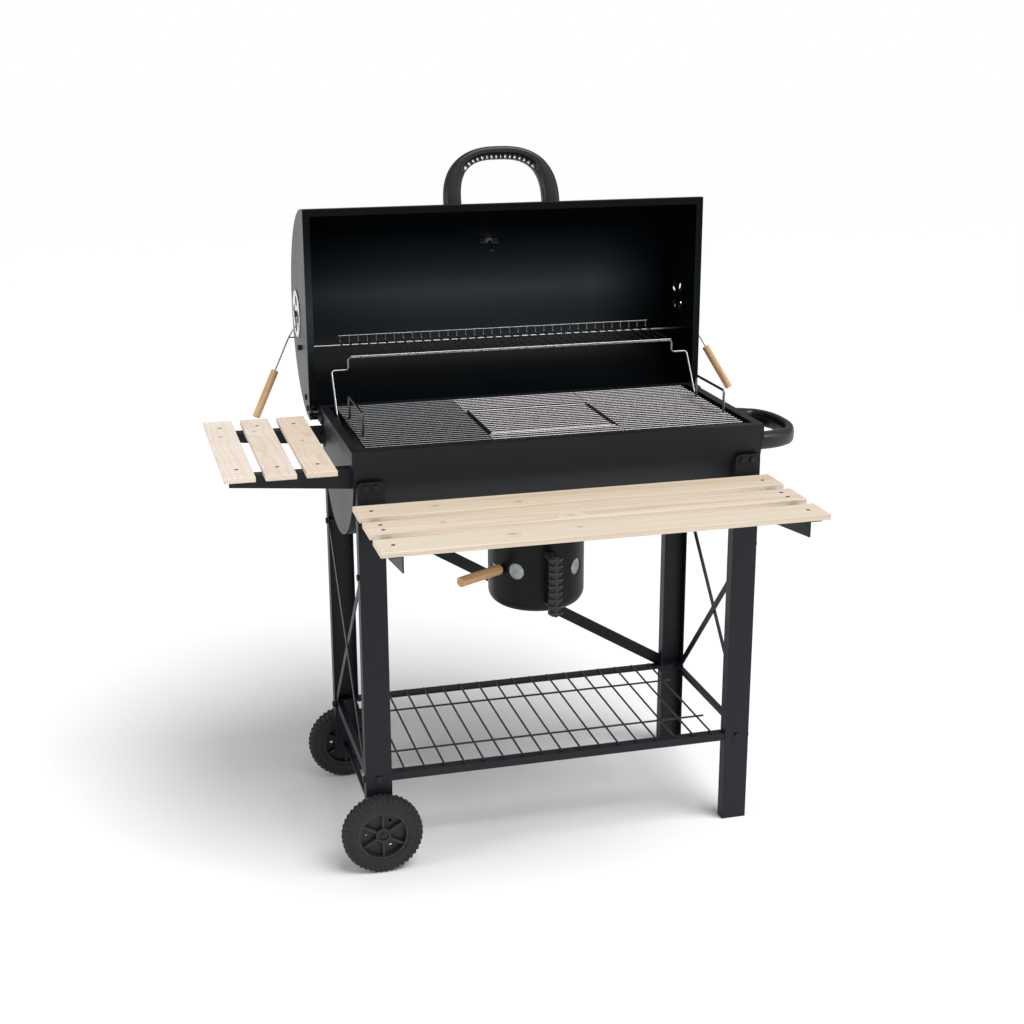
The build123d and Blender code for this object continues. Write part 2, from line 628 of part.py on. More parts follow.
def cross_bar(x, low_y, high_y, lift=0.0):
    """Thick bar under the long wires, front to back."""
    z = GRATE_Z - GRATE_WIRE_D / 2 - GRATE_BAR_D / 2 + 0.8 + lift
    post((x, low_y, z), (0, 1, 0), GRATE_BAR_D, high_y - low_y)


SECTION_GAP = 3.0
OUTER_X = GRATE_L / 2
MIDDLE_X = MIDDLE_L / 2
for name, lr in SIDES:
    with BuildPart() as grate_section:
        near = lr * (MIDDLE_X + SECTION_GAP / 2)
        far = lr * OUTER_X
        grate_bars(min(near, far), max(near, far), GRATE_D, 0)
        for x in (near + lr * 3, (near + far) / 2, far - lr * 3):
            cross_bar(x, -GRATE_D / 2, GRATE_D / 2)
        loop_x = lr * (OUTER_X - 9)
        ends = (LOOP_Y - LOOP_SPAN / 2, LOOP_Y + LOOP_SPAN / 2)
        base = GRATE_Z - 1
        bent_wire([(loop_x, ends[0], base), (loop_x, ends[0], GRATE_Z + LOOP_H),
                   (loop_x, ends[1], GRATE_Z + LOOP_H), (loop_x, ends[1], base)], LOOP_D, 6)
        block((loop_x - 4, ends[0] - 7, base - 1.5), (loop_x + 4, ends[0] + 7, base + 1.5))
        block((loop_x - 4, ends[1] - 7, base - 1.5), (loop_x + 4, ends[1] + 7, base + 1.5))
    keep(grate_section.part, f"grate_{name}")

OPEN_LOW = INSERT_Y - INSERT_D / 2 - 1.5
OPEN_HIGH = INSERT_Y + INSERT_D / 2 + 1.5
SEAT_X = INSERT_L / 2 - 11
TAB_Y = (OPEN_LOW + 14, OPEN_HIGH - 14)
LOW_BAR_Z = GRATE_Z - GRATE_WIRE_D / 2 - GRATE_BAR_D / 2 + 0.8
TAB_Z = LOW_BAR_Z - GRATE_BAR_D / 2 - 1.0
TAB_T = 2.0
with BuildPart() as grate_middle:
    grate_bars(-MIDDLE_X, MIDDLE_X, GRATE_D, 0, (OPEN_LOW, OPEN_HIGH))
    for x in (-MIDDLE_X + 3, MIDDLE_X - 3):
        cross_bar(x, -GRATE_D / 2, GRATE_D / 2)
    cross_bar(0, -GRATE_D / 2, OPEN_LOW - 1)
    cross_bar(0, OPEN_HIGH + 1, GRATE_D / 2)
    for y in (OPEN_LOW - 1, OPEN_HIGH + 1):
        post((-MIDDLE_X + 3, y, LOW_BAR_Z), (1, 0, 0), GRATE_BAR_D - 0.8, MIDDLE_L - 6)
    for lr in (-1, 1):
        for y in TAB_Y:
            tab_x = sorted((lr * SEAT_X, lr * (MIDDLE_X - 2.2)))
            block((tab_x[0], y - 6, TAB_Z), (tab_x[1], y + 6, TAB_Z + TAB_T))
keep(grate_middle.part, "grate_middle")

with BuildPart() as grate_insert:
    frame_z = GRATE_Z + 0.6
    corner = INSERT_L / 2 - GRATE_BAR_D / 2
    low_y = INSERT_Y - INSERT_D / 2 + GRATE_BAR_D / 2
    high_y = INSERT_Y + INSERT_D / 2 - GRATE_BAR_D / 2
    for y in (low_y, high_y):
        post((-corner, y, frame_z), (1, 0, 0), GRATE_BAR_D, 2 * corner)
    for x in (-corner, corner):
        post((x, low_y, frame_z), (0, 1, 0), GRATE_BAR_D, high_y - low_y)
    for x in (-corner, corner):
        for y in (low_y, high_y):
            with Locations((x, y, frame_z)):
                Sphere(GRATE_BAR_D / 2)
    grate_bars(-corner, corner, INSERT_D - 2 * GRATE_PITCH, INSERT_Y)
    for x in (-corner / 2, corner / 2):
        cross_bar(x, low_y, high_y)
    for lr in (-1, 1):
        for y in TAB_Y:
            foot_z = TAB_Z + TAB_T
            post((lr * (corner - 2.4), y, foot_z), (0, 0, 1), 3.4, frame_z - foot_z)
keep(grate_insert.part, "grate_insert")

COAL_HALF = sqrt((BOWL_R - SHEET) ** 2 - (BARREL_Z - COAL_Z + COAL_BAR_D) ** 2) - 2
with BuildPart() as charcoal_grate:
    count = int((COAL_L - 20) / COAL_PITCH) + 1
    pitch = (COAL_L - 20) / (count - 1)
    for i in range(count):
        x = -COAL_L / 2 + 10 + i * pitch
        post((x, -COAL_HALF, COAL_Z), (0, 1, 0), COAL_BAR_D, 2 * COAL_HALF)
    for y in (-COAL_HALF + 12, 0, COAL_HALF - 12):
        post((-COAL_L / 2, y, COAL_Z - COAL_BAR_D + 1), (1, 0, 0), COAL_BAR_D, COAL_L)
keep(charcoal_grate.part, "charcoal_grate")

# ==== ash cup under the bowl
COLLAR_LOW_Z = CUP_TOP_Z - 44.0
COLLAR_R = CUP_R - SHEET - GAP
RING_LOW_Z = CUP_HOLE_Z - CUP_HOLE_D / 2 - 4
RING_HIGH_Z = COLLAR_LOW_Z - 2
RING_T = 1.2
PIN_D = 6.0
PIN_Z = CUP_TOP_Z - 36.0
with BuildPart() as ash_collar:
    with BuildSketch(Plane.XY.offset(COLLAR_LOW_Z)):
        Circle(COLLAR_R)
        Circle(COLLAR_R - SHEET, mode=Mode.SUBTRACT)
    extrude(amount=BARREL_Z - COLLAR_LOW_Z)
    inside = half_disc(Plane.YZ.offset(-BOWL_X), (0, BARREL_Z), BOWL_R + 0.05, 2, True)
    extrude(inside, amount=BOWL_L, mode=Mode.SUBTRACT)
    for lr in (-1, 1):
        post((lr * (COLLAR_R - SHEET / 2), 0, PIN_Z), (lr, 0, 0), PIN_D, 16)
keep(ash_collar.part, "ash_collar")


def around(angle, radius, z):
    """Point at an angle round the cup's axis."""
    return Vector(radius * cos(radians(angle)), radius * sin(radians(angle)), z)


CUP_HOLES = [base + side * CUP_HOLE_SPLIT for base in (90, 270) for side in (-1, 1)]
SLOT_H = DAMPER_ROD_D + 2.4
with BuildPart() as ash_cup:
    with BuildSketch(Plane.XY.offset(CUP_BOTTOM_Z)):
        Circle(CUP_R)
    extrude(amount=CUP_TOP_Z - CUP_BOTTOM_Z)
    fillet(ash_cup.faces().sort_by(Axis.Z)[0].edges(), CUP_ROUND)
    offset(amount=-SHEET, openings=ash_cup.faces().sort_by(Axis.Z)[-1])
    for angle in CUP_HOLES:
        at = around(angle, CUP_R, CUP_HOLE_Z)
        drill(at, (at.X, at.Y, 0), CUP_HOLE_D, 20)
    low, high = DAMPER_ANGLE - DAMPER_SWING - 2.5, DAMPER_ANGLE + 2.5
    with BuildSketch(Plane.XY.offset(CUP_HOLE_Z - SLOT_H / 2)) as slot:
        corners = [around(a, CUP_R + 12, 0) for a in (low, (low + high) / 2, high)]
        with BuildLine():
            Polyline((0, 0), *[(c.X, c.Y) for c in corners], close=True)
        make_face()
    extrude(slot.sketch, amount=SLOT_H, mode=Mode.SUBTRACT)
    for lr in (-1, 1):
        block((min(lr * (CUP_R - 8), lr * (CUP_R + 8)), -PIN_D / 2 - GAP, PIN_Z - PIN_D / 2 - GAP),
              (max(lr * (CUP_R - 8), lr * (CUP_R + 8)), PIN_D / 2 + GAP, CUP_TOP_Z + 5), mode=Mode.SUBTRACT)
keep(ash_cup.part, "ash_cup")

RING_R = CUP_R - SHEET - GAP
with BuildPart() as ash_damper_ring:
    with BuildSketch(Plane.XY.offset(RING_LOW_Z)):
        Circle(RING_R)
        Circle(RING_R - RING_T, mode=Mode.SUBTRACT)
    extrude(amount=RING_HIGH_Z - RING_LOW_Z)
    for angle in CUP_HOLES:
        at = around(angle + DAMPER_SWING, CUP_R, CUP_HOLE_Z)
        drill(at, (at.X, at.Y, 0), CUP_HOLE_D, 20)
    root = around(DAMPER_ANGLE, RING_R - RING_T / 2, CUP_HOLE_Z)
    radial = around(DAMPER_ANGLE, 1, 0)
    post(root, radial, DAMPER_ROD_D, CUP_R + 50 - RING_R)
keep(ash_damper_ring.part, "ash_damper_ring")

with BuildPart() as damper_grip:
    start = around(DAMPER_ANGLE, CUP_R + 6, CUP_HOLE_Z)
    post(start, radial, DAMPER_GRIP_D, DAMPER_GRIP_L)
    chamfer(damper_grip.edges().filter_by(GeomType.CIRCLE), 1)
    drill(start, radial, DAMPER_ROD_D + 2 * RUN, 92)
keep(damper_grip.part, "damper_grip")

CUP_HANDLE_W = 27.0
CUP_HANDLE_T = 19.0
CUP_HANDLE_OFF = 30.0
CUP_HANDLE_LOW = CUP_BOTTOM_Z + 12.0
CUP_HANDLE_HIGH = CUP_TOP_Z - 22.0
with BuildPart() as ash_cup_handle:
    inner_y = CUP_R + CUP_HANDLE_OFF
    outer_y = inner_y + CUP_HANDLE_T
    with BuildSketch(Plane.XY.offset(CUP_HANDLE_LOW)):
        with Locations((0, -(inner_y + outer_y) / 2)):
            RectangleRounded(CUP_HANDLE_W, CUP_HANDLE_T, 6)
    extrude(amount=CUP_HANDLE_HIGH - CUP_HANDLE_LOW)
    for z in (CUP_HANDLE_LOW + 12, CUP_HANDLE_HIGH - 12):
        block((-9, -inner_y - 6, z - 5), (9, -CUP_R + 8, z + 5))
    with BuildSketch(Plane.XY.offset(CUP_BOTTOM_Z)) as wall:
        Circle(CUP_R)
    extrude(wall.sketch, amount=CUP_TOP_Z - CUP_BOTTOM_Z, mode=Mode.SUBTRACT)
keep(ash_cup_handle.part, "ash_cup_handle")

# ==== hinge brackets and pins on the bowl
PIN_HEAD_D = 14.0
PIN_COLLAR_D = 12.0
with BuildPart() as hinge_brackets:
    for name, lr in SIDES:
        with BuildSketch(Plane.YZ.offset(BOWL_X if lr > 0 else -BOWL_X - HINGE_PLATE)) as bracket:
            with Locations((HINGE_Y, HINGE_Z)):
                Circle(EAR_R)
            with Locations((HINGE_Y - 26, HINGE_Z - 5.5)):
                Rectangle(52, 17)
            with Locations((HINGE_Y, HINGE_Z)):
                Circle(HINGE_PIN_D / 2 + RUN, mode=Mode.SUBTRACT)
            for y, z in HINGE_BOLTS:
                with Locations((y, z)):
                    Circle(FRAME_BOLT_D / 2 + RUN, mode=Mode.SUBTRACT)
        extrude(bracket.sketch, amount=HINGE_PLATE)
keep(hinge_brackets.part, "hinge_brackets")

with BuildPart() as hinge_pins:
    for name, lr in SIDES:
        axis = (lr, 0, 0)
        post((lr * BOWL_X, HINGE_Y, HINGE_Z), axis, HINGE_PIN_D, LID_X - SHEET + GAP - BOWL_X)
        post((lr * (BOWL_X + HINGE_PLATE), HINGE_Y, HINGE_Z), axis, PIN_COLLAR_D,
             PLATE_X - GAP - BOWL_X - HINGE_PLATE)
        post((lr * (LID_X - SHEET + GAP), HINGE_Y, HINGE_Z), axis, PIN_HEAD_D, 4)
keep(hinge_pins.part, "hinge_pins")

# ==== legs
RAIL_BOLT_Z = RAIL_TOP_Z - RAIL_H / 2
BRACE_T = 2.0
LEG_ENDS = (("front", -1), ("rear", 1))
REAR_BRACE_TOP = LEG_TOP_Z - 147.0
SHELF_BOLT_X = LEG_MID + 10
SHELF_BOLT_Z = (SHELF_TOP_Z - 54.0, SHELF_TOP_Z - 26.0)
axle_z = WHEEL_D / 2
for depth_name, fb in LEG_ENDS:
    for name, lr in SIDES:
        low_z = WHEEL_LEG_BOTTOM if name == "left" else 0.0
        with BuildPart() as leg:
            with BuildSketch(Plane.XY.offset(low_z)):
                with Locations((lr * LEG_MID, fb * (LEG_FACE - LEG_D / 2))):
                    Rectangle(LEG_W, LEG_D)
                with Locations((lr * LEG_MID, fb * (LEG_FACE - SHEET - LEG_D / 2))):
                    Rectangle(LEG_W - 2 * SHEET, LEG_D, mode=Mode.SUBTRACT)
            extrude(amount=LEG_TOP_Z - low_z)
            with BuildSketch(Plane.XZ) as front_view:
                with Locations((lr * LEG_MID, LEG_TOP_Z - 200)):
                    RectangleRounded(LEG_W, 400, 9)
                with Locations((lr * LEG_MID, (LEG_TOP_Z - 200) / 2)):
                    Rectangle(LEG_W, LEG_TOP_Z - 200)
            extrude(front_view.sketch, amount=400, both=True, mode=Mode.INTERSECT)
            barrel = half_disc(Plane.YZ.offset(-BOWL_X), (0, BARREL_Z), BOWL_R + GAP, 2, True)
            extrude(barrel, amount=BOWL_L, mode=Mode.SUBTRACT)
            for x in LEG_BOLT_X:
                drill((lr * x, fb * LEG_FACE, LEG_BOLT_Z), (0, 1, 0), FRAME_BOLT_D + 2 * RUN, 20)
            drill((lr * LEG_MID, fb * LEG_FACE, RAIL_BOLT_Z), (0, 1, 0), FRAME_BOLT_D + 2 * RUN, 20)
            for z in (BRACE_LOW_Z, BRACE_TOP_Z):
                drill((lr * LEG_OUT, fb * BOLT_Y, z), (1, 0, 0), FRAME_BOLT_D + 2 * RUN, 20)
            notch_x = sorted((lr * (LEG_IN - 1), lr * (LEG_IN + SHEET + 1)))
            notch_y = sorted((fb * (LEG_FACE - LEG_D - 1), fb * (LEG_FACE - SHEET)))
            block((notch_x[0], notch_y[0], RAIL_TOP_Z - RAIL_H - GAP),
                  (notch_x[1], notch_y[1], RAIL_TOP_Z + GAP), mode=Mode.SUBTRACT)
            if name == "left":
                drill((-LEG_MID, fb * LEG_FACE, axle_z), (0, 1, 0), AXLE_D + 2 * RUN, 20)
            if name == "left" and depth_name == "rear":
                drill((-LEG_MID, LEG_FACE, REAR_BRACE_TOP), (0, 1, 0), FRAME_BOLT_D + 2 * RUN, 20)
            if depth_name == "front":
                for z in SHELF_BOLT_Z:
                    drill((lr * SHELF_BOLT_X, -LEG_FACE, z), (0, 1, 0), FRAME_BOLT_D + 2 * RUN, 20)
        keep(leg.part, f"leg_{depth_name}_{name}")

# ==== bottom shelf and braces
SIDE_RAIL_X = LEG_OUT - SHEET - 2 * BRACE_T
RAIL_END_X = SIDE_RAIL_X - SHEET - 2.5
INNER_FACE = LEG_FACE - SHEET
with BuildPart() as shelf_rails:
    for fb in (-1, 1):
        face = sorted((fb * INNER_FACE, fb * (INNER_FACE - SHEET)))
        block((-RAIL_END_X, face[0], RAIL_TOP_Z - RAIL_H), (RAIL_END_X, face[1], RAIL_TOP_Z))
        top = sorted((fb * INNER_FACE, fb * (INNER_FACE - RAIL_FLANGE)))
        block((-RAIL_END_X, top[0], RAIL_TOP_Z - SHEET), (RAIL_END_X, top[1], RAIL_TOP_Z))
        for lr in (-1, 1):
            drill((lr * LEG_MID, fb * INNER_FACE, RAIL_BOLT_Z), (0, 1, 0), FRAME_BOLT_D + 2 * RUN, 20)
keep(shelf_rails.part, "shelf_rails")

SIDE_RAIL_H = 20.0
SIDE_RAIL_FLANGE = 11.0
with BuildPart() as side_rails:
    for lr in (-1, 1):
        web = sorted((lr * SIDE_RAIL_X, lr * (SIDE_RAIL_X - SHEET)))
        end_y = BOLT_Y + 7
        block((web[0], -end_y, RAIL_TOP_Z - SIDE_RAIL_H), (web[1], end_y, RAIL_TOP_Z))
        top = sorted((lr * SIDE_RAIL_X, lr * (SIDE_RAIL_X - SIDE_RAIL_FLANGE)))
        flange_y = INNER_FACE - RAIL_FLANGE - 2
        block((top[0], -flange_y, RAIL_TOP_Z - SHEET), (top[1], flange_y, RAIL_TOP_Z))
        for fb in (-1, 1):
            drill((lr * SIDE_RAIL_X, fb * BOLT_Y, BRACE_LOW_Z), (1, 0, 0), FRAME_BOLT_D + 2 * RUN, 20)
keep(side_rails.part, "side_rails")

GRID_Z = RAIL_TOP_Z + GRID_WIRE_D / 2
with BuildPart() as shelf_grid:
    for i in range(GRID_COUNT):
        x = (i - (GRID_COUNT - 1) / 2) * GRID_PITCH
        post((x, -INNER_FACE + 6, GRID_Z), (0, 1, 0), GRID_WIRE_D, 2 * INNER_FACE - 12)
    for y in (-INNER_FACE / 2, INNER_FACE / 2):
        long_x = LEG_IN - 8
        post((-long_x, y, GRID_Z - GRID_WIRE_D + 0.6), (1, 0, 0), GRID_WIRE_D, 2 * long_x)
keep(shelf_grid.part, "shelf_grid")

BRACE_RUN = 2 * BOLT_Y
BRACE_RISE = BRACE_TOP_Z - BRACE_LOW_Z
with BuildPart() as side_braces:
    for lr in (-1, 1):
        for layer, lean in ((0, 1), (1, -1)):
            near = lr * (LEG_OUT - SHEET - layer * BRACE_T)
            start = min(near, near - lr * BRACE_T)
            slope = lean * degrees(atan2(BRACE_RISE, BRACE_RUN))
            with BuildSketch(Plane.YZ.offset(start)) as bar:
                with Locations((0, (BRACE_TOP_Z + BRACE_LOW_Z) / 2)):
                    SlotCenterToCenter(hypot(BRACE_RUN, BRACE_RISE), BRACE_W, rotation=slope)
                for fb in (-1, 1):
                    hole_z = BRACE_TOP_Z if fb * lean > 0 else BRACE_LOW_Z
                    with Locations((fb * BOLT_Y, hole_z)):
                        Circle(FRAME_BOLT_D / 2 + RUN, mode=Mode.SUBTRACT)
            extrude(bar.sketch, amount=BRACE_T)
keep(side_braces.part, "side_braces")

with BuildPart() as rear_brace:
    drop = RAIL_BOLT_Z - REAR_BRACE_TOP
    slope = degrees(atan2(drop, 2 * LEG_MID))
    with BuildSketch(Plane.XZ.offset(-LEG_FACE)) as bar:
        with Locations((0, (RAIL_BOLT_Z + REAR_BRACE_TOP) / 2)):
            SlotCenterToCenter(hypot(2 * LEG_MID, drop), REAR_BRACE_W, rotation=slope)
        for x, z in ((-LEG_MID, REAR_BRACE_TOP), (LEG_MID, RAIL_BOLT_Z)):
            with Locations((x, z)):
                Circle(FRAME_BOLT_D / 2 + RUN, mode=Mode.SUBTRACT)
    extrude(bar.sketch, amount=-PLATE)
keep(rear_brace.part, "rear_brace")

# ==== wheels
WHEEL_IN = LEG_FACE + 2.6
WHEEL_OUT = WHEEL_IN + WHEEL_W
TYRE_ROUND = 7.0
HUB_WEB = 5.0
HUB_RIM = 6.0
BOSS_R = 14.0
BOSS_IN = 4.0        # boss and ribs stand back from the wheel's face
CAP_R = 9.0
CAP_DEEP = 7.0
SPOKES = 6
with BuildPart() as wheel_axle:
    axle_end = WHEEL_OUT - BOSS_IN - 1
    post((-LEG_MID, -axle_end, axle_z), (0, 1, 0), AXLE_D, 2 * axle_end)
keep(wheel_axle.part, "wheel_axle")

with BuildPart() as axle_caps:
    for fb in (-1, 1):
        post((-LEG_MID, fb * (WHEEL_OUT - BOSS_IN - CAP_DEEP + GAP), axle_z), (0, fb, 0), 2 * CAP_R, 4)
    drill((-LEG_MID, 0, axle_z), (0, 1, 0), AXLE_D, 2 * WHEEL_OUT + 10)
keep(axle_caps.part, "axle_caps")

for depth_name, fb in LEG_ENDS:
    mid_y = fb * (WHEEL_IN + WHEEL_OUT) / 2
    wheel_plane = Plane(origin=(-LEG_MID, mid_y, axle_z), z_dir=(0, 1, 0))
    with BuildPart() as tyre:
        with BuildSketch(wheel_plane) as ring:
            Circle(WHEEL_D / 2)
        extrude(ring.sketch, amount=WHEEL_W / 2, both=True)
        fillet(tyre.edges().filter_by(GeomType.CIRCLE), TYRE_ROUND)
        with BuildSketch(wheel_plane) as bore:
            Circle(HUB_R)
        extrude(bore.sketch, amount=WHEEL_W, both=True, mode=Mode.SUBTRACT)
    keep(tyre.part, f"tyre_{depth_name}")
    with BuildPart() as hub:
        with BuildSketch(wheel_plane) as rim:
            Circle(HUB_R)
            Circle(HUB_R - HUB_RIM, mode=Mode.SUBTRACT)
        extrude(rim.sketch, amount=WHEEL_W / 2 - 2.5, both=True)
        with BuildSketch(wheel_plane) as web:
            Circle(HUB_R - 2)
            with PolarLocations((HUB_R + BOSS_R) / 2 - 2, SPOKES // 2, start_angle=30):
                Circle(3.2, mode=Mode.SUBTRACT)
        extrude(web.sketch, amount=HUB_WEB / 2, both=True)
        with BuildSketch(wheel_plane) as ribs:
            with PolarLocations((HUB_R + BOSS_R) / 2 - 2, SPOKES):
                Rectangle(HUB_R - BOSS_R, 4.6)
        extrude(ribs.sketch, amount=WHEEL_W / 2 - BOSS_IN - 1.5, both=True)
        with BuildSketch(wheel_plane) as boss:
            Circle(BOSS_R)
        extrude(boss.sketch, amount=WHEEL_W / 2 - BOSS_IN, both=True)
        with BuildSketch(wheel_plane) as spacer:
            Circle(BOSS_R - 3)
        extrude(spacer.sketch, amount=-fb * (WHEEL_W / 2 - 0.5))
        with BuildSketch(wheel_plane) as bore:
            Circle(AXLE_D / 2 + RUN)
        extrude(bore.sketch, amount=WHEEL_W, both=True, mode=Mode.SUBTRACT)
        with BuildSketch(wheel_plane.offset(fb * (WHEEL_W / 2 - BOSS_IN - CAP_DEEP))) as recess:
            Circle(CAP_R + 1.2)
        extrude(recess.sketch, amount=fb * WHEEL_W, mode=Mode.SUBTRACT)
    keep(hub.part, f"wheel_hub_{depth_name}")

# ==== wooden shelves
HEAD_D = 8.0
HEAD_H = 1.4
SHELF_UNDER = SHELF_TOP_Z - SLAT_T
SHELF_REAR = -LEG_FACE - SHELF_OFF
SHELF_SCREW_X = LEG_MID + 8.8
SLAT_NAMES = ("rear", "middle", "front")
SLAT_SCREWS = {"rear": (0.0,), "middle": (-14.0, 14.0), "front": (0.0,)}
shelf_screws = []


def slat(centre, size, screws):
    """Planed board with softened edges and recessed screw holes at screws, given in X and Y."""
    with BuildPart() as board:
        with Locations(centre):
            Box(*size)
        fillet(board.edges(), 1.5)
        top = centre[2] + size[2] / 2
        for x, y in screws:
            drill((x, y, top), (0, 0, 1), HEAD_D + 2 * RUN, 2 * HEAD_H)
            drill((x, y, top), (0, 0, 1), SCREW_D + 2 * RUN, 2 * size[2] + 2)
    return board.part


for i, name in enumerate(SLAT_NAMES):
    y = SHELF_REAR - SHELF_SLAT_W / 2 - i * SHELF_PITCH
    screws = [(lr * SHELF_SCREW_X, y + dy) for lr in (-1, 1) for dy in SLAT_SCREWS[name]]
    shelf_screws += [(x, v, SHELF_TOP_Z) for x, v in screws]
    board = slat((0, y, SHELF_TOP_Z - SLAT_T / 2), (SHELF_L, SHELF_SLAT_W, SLAT_T), screws)
    keep(board, f"shelf_slat_{name}")

SHELF_FRONT = SHELF_REAR - 2 * SHELF_PITCH - SHELF_SLAT_W
BRACKET_IN = SHELF_SCREW_X - 11.0
BRACKET_OUT = SHELF_SCREW_X + 12.0
BRACKET_DEEP = 62.0
BRACKET_TIP = 30.0
with BuildPart() as shelf_brackets:
    tip_y = SHELF_FRONT + 4
    for lr in (-1, 1):
        start = BRACKET_IN if lr > 0 else -BRACKET_IN - PLATE
        with BuildSketch(Plane.YZ.offset(start)) as web:
            with BuildLine():
                Polyline((-LEG_FACE, SHELF_UNDER), (-LEG_FACE, SHELF_UNDER - BRACKET_DEEP),
                         (-LEG_FACE - 30, SHELF_UNDER - BRACKET_DEEP), (tip_y, SHELF_UNDER - BRACKET_TIP),
                         (tip_y, SHELF_UNDER), close=True)
            make_face()
        extrude(web.sketch, amount=PLATE)
        wide = sorted((lr * BRACKET_IN, lr * BRACKET_OUT))
        block((wide[0], tip_y, SHELF_UNDER - PLATE), (wide[1], -LEG_FACE, SHELF_UNDER))
        block((wide[0], -LEG_FACE - PLATE, SHELF_UNDER - BRACKET_DEEP), (wide[1], -LEG_FACE, SHELF_UNDER))
        for x, y, z in shelf_screws:
            drill((x, y, SHELF_UNDER), (0, 0, 1), SCREW_D + 2 * RUN, 2 * PLATE + 2)
        for z in SHELF_BOLT_Z:
            drill((lr * SHELF_BOLT_X, -LEG_FACE, z), (0, 1, 0), FRAME_BOLT_D + 2 * RUN, 20)
keep(shelf_brackets.part, "shelf_brackets")

TABLE_SLATS = ("inner", "middle", "outer")
TABLE_INNER_X = -BOWL_X - TABLE_OFF
table_screws = []
for i, name in enumerate(TABLE_SLATS):
    x = TABLE_INNER_X - TABLE_SLAT_W / 2 - i * TABLE_PITCH
    screws = [(x, fb * TABLE_BOLT_Y) for fb in (-1, 1)]
    table_screws += [(u, v, TABLE_TOP_Z) for u, v in screws]
    board = slat((x, 0, TABLE_TOP_Z - SLAT_T / 2), (TABLE_SLAT_W, TABLE_D, SLAT_T), screws)
    keep(board, f"table_slat_{name}")

TABLE_UNDER = TABLE_TOP_Z - SLAT_T
TABLE_TIP_X = TABLE_INNER_X - 2 * TABLE_PITCH - TABLE_SLAT_W + 12
TABLE_DEEP = 38.0
TABLE_TIP = 20.0
with BuildPart() as table_brackets:
    for fb in (-1, 1):
        web_y = sorted((fb * TABLE_BRACKET_Y, fb * (TABLE_BRACKET_Y - PLATE)))
        with BuildSketch(Plane.XZ.offset(-web_y[1])) as web:
            with BuildLine():
                Polyline((-END_X, TABLE_UNDER), (-END_X, TABLE_UNDER - TABLE_DEEP),
                         (TABLE_TIP_X, TABLE_UNDER - TABLE_TIP), (TABLE_TIP_X, TABLE_UNDER), close=True)
            make_face()
        extrude(web.sketch, amount=PLATE)
        flange_y = sorted((fb * TABLE_BRACKET_Y, fb * (TABLE_BRACKET_Y - 22)))
        block((TABLE_TIP_X, flange_y[0], TABLE_UNDER - PLATE), (-END_X, flange_y[1], TABLE_UNDER))
        block((-END_X - PLATE, flange_y[0], TABLE_UNDER - TABLE_DEEP), (-END_X, flange_y[1], TABLE_UNDER))
        drill((-END_X, fb * TABLE_BOLT_Y, TABLE_BOLT_Z), (1, 0, 0), FRAME_BOLT_D + 2 * RUN, 20)
        for x, y, z in table_screws:
            drill((x, y, TABLE_UNDER), (0, 0, 1), SCREW_D + 2 * RUN, 2 * PLATE + 2)
keep(table_brackets.part, "table_brackets")

with BuildPart() as slat_screws:
    for x, y, z in shelf_screws + table_screws:
        post((x, y, z - HEAD_H), (0, 0, 1), HEAD_D, HEAD_H - 0.2)
        post((x, y, z - HEAD_H), (0, 0, -1), SCREW_D, SLAT_T + PLATE + 2)
        post((x, y, z - SLAT_T - PLATE), (0, 0, -1), HEAD_D, 3)
keep(slat_screws.part, "slat_screws")

# ==== frame bolts
with BuildPart() as frame_bolts:
    for name, lr in SIDES:
        for fb in (-1, 1):
            for x in LEG_BOLT_X:
                grip = LEG_FACE - bowl_y(LEG_BOLT_Z) + SHEET + 2.5
                bolt((lr * x, fb * LEG_FACE, LEG_BOLT_Z), (0, fb, 0), grip, FRAME_BOLT_D)
            brace = PLATE if (fb > 0 and lr > 0) else 0
            rail_grip = 2 * SHEET + brace
            bolt((lr * LEG_MID, fb * (LEG_FACE + brace), RAIL_BOLT_Z), (0, fb, 0), rail_grip, FRAME_BOLT_D)
            bolt((lr * LEG_OUT, fb * BOLT_Y, BRACE_LOW_Z), (lr, 0, 0), 2 * SHEET + 2 * BRACE_T, FRAME_BOLT_D)
            bolt((lr * LEG_OUT, fb * BOLT_Y, BRACE_TOP_Z), (lr, 0, 0), SHEET + 2 * BRACE_T, FRAME_BOLT_D)
        for z in SHELF_BOLT_Z:
            bolt((lr * SHELF_BOLT_X, -LEG_FACE - PLATE, z), (0, -1, 0), PLATE + SHEET, FRAME_BOLT_D)
        for y, z in HINGE_BOLTS:
            bolt((lr * (BOWL_X + HINGE_PLATE), y, z), (lr, 0, 0), HINGE_PLATE + SHEET, FRAME_BOLT_D, 2.5)
    bolt((-LEG_MID, LEG_FACE + PLATE, REAR_BRACE_TOP), (0, 1, 0), PLATE + SHEET, FRAME_BOLT_D)
    for fb in (-1, 1):
        bolt((-END_X - PLATE, fb * TABLE_BOLT_Y, TABLE_BOLT_Z), (-1, 0, 0), PLATE + SHEET, FRAME_BOLT_D)
        at = Vector(END_X - SHEET, SIDE_HANDLE_Y + fb * HANDLE_BOLT_OUT, SIDE_HANDLE_Z)
        screw_in(at, (-1, 0, 0), HANDLE_BOLT_IN - 2, HANDLE_BOLT_D)
keep(frame_bolts.part, "frame_bolts")

# ==== origin to the bottom centre of the whole object, and export
whole = Compound(pieces).bounding_box()
SHIFT = Location((-(whole.min.X + whole.max.X) / 2, -(whole.min.Y + whole.max.Y) / 2, -whole.min.Z))
for piece in pieces:
    placed = piece.moved(SHIFT)
    placed.label = piece.label
    export_step(placed, f"parts/{piece.label}.step")

print("sub-parts", len(pieces))
print("size", whole.size, "shift", SHIFT.position)
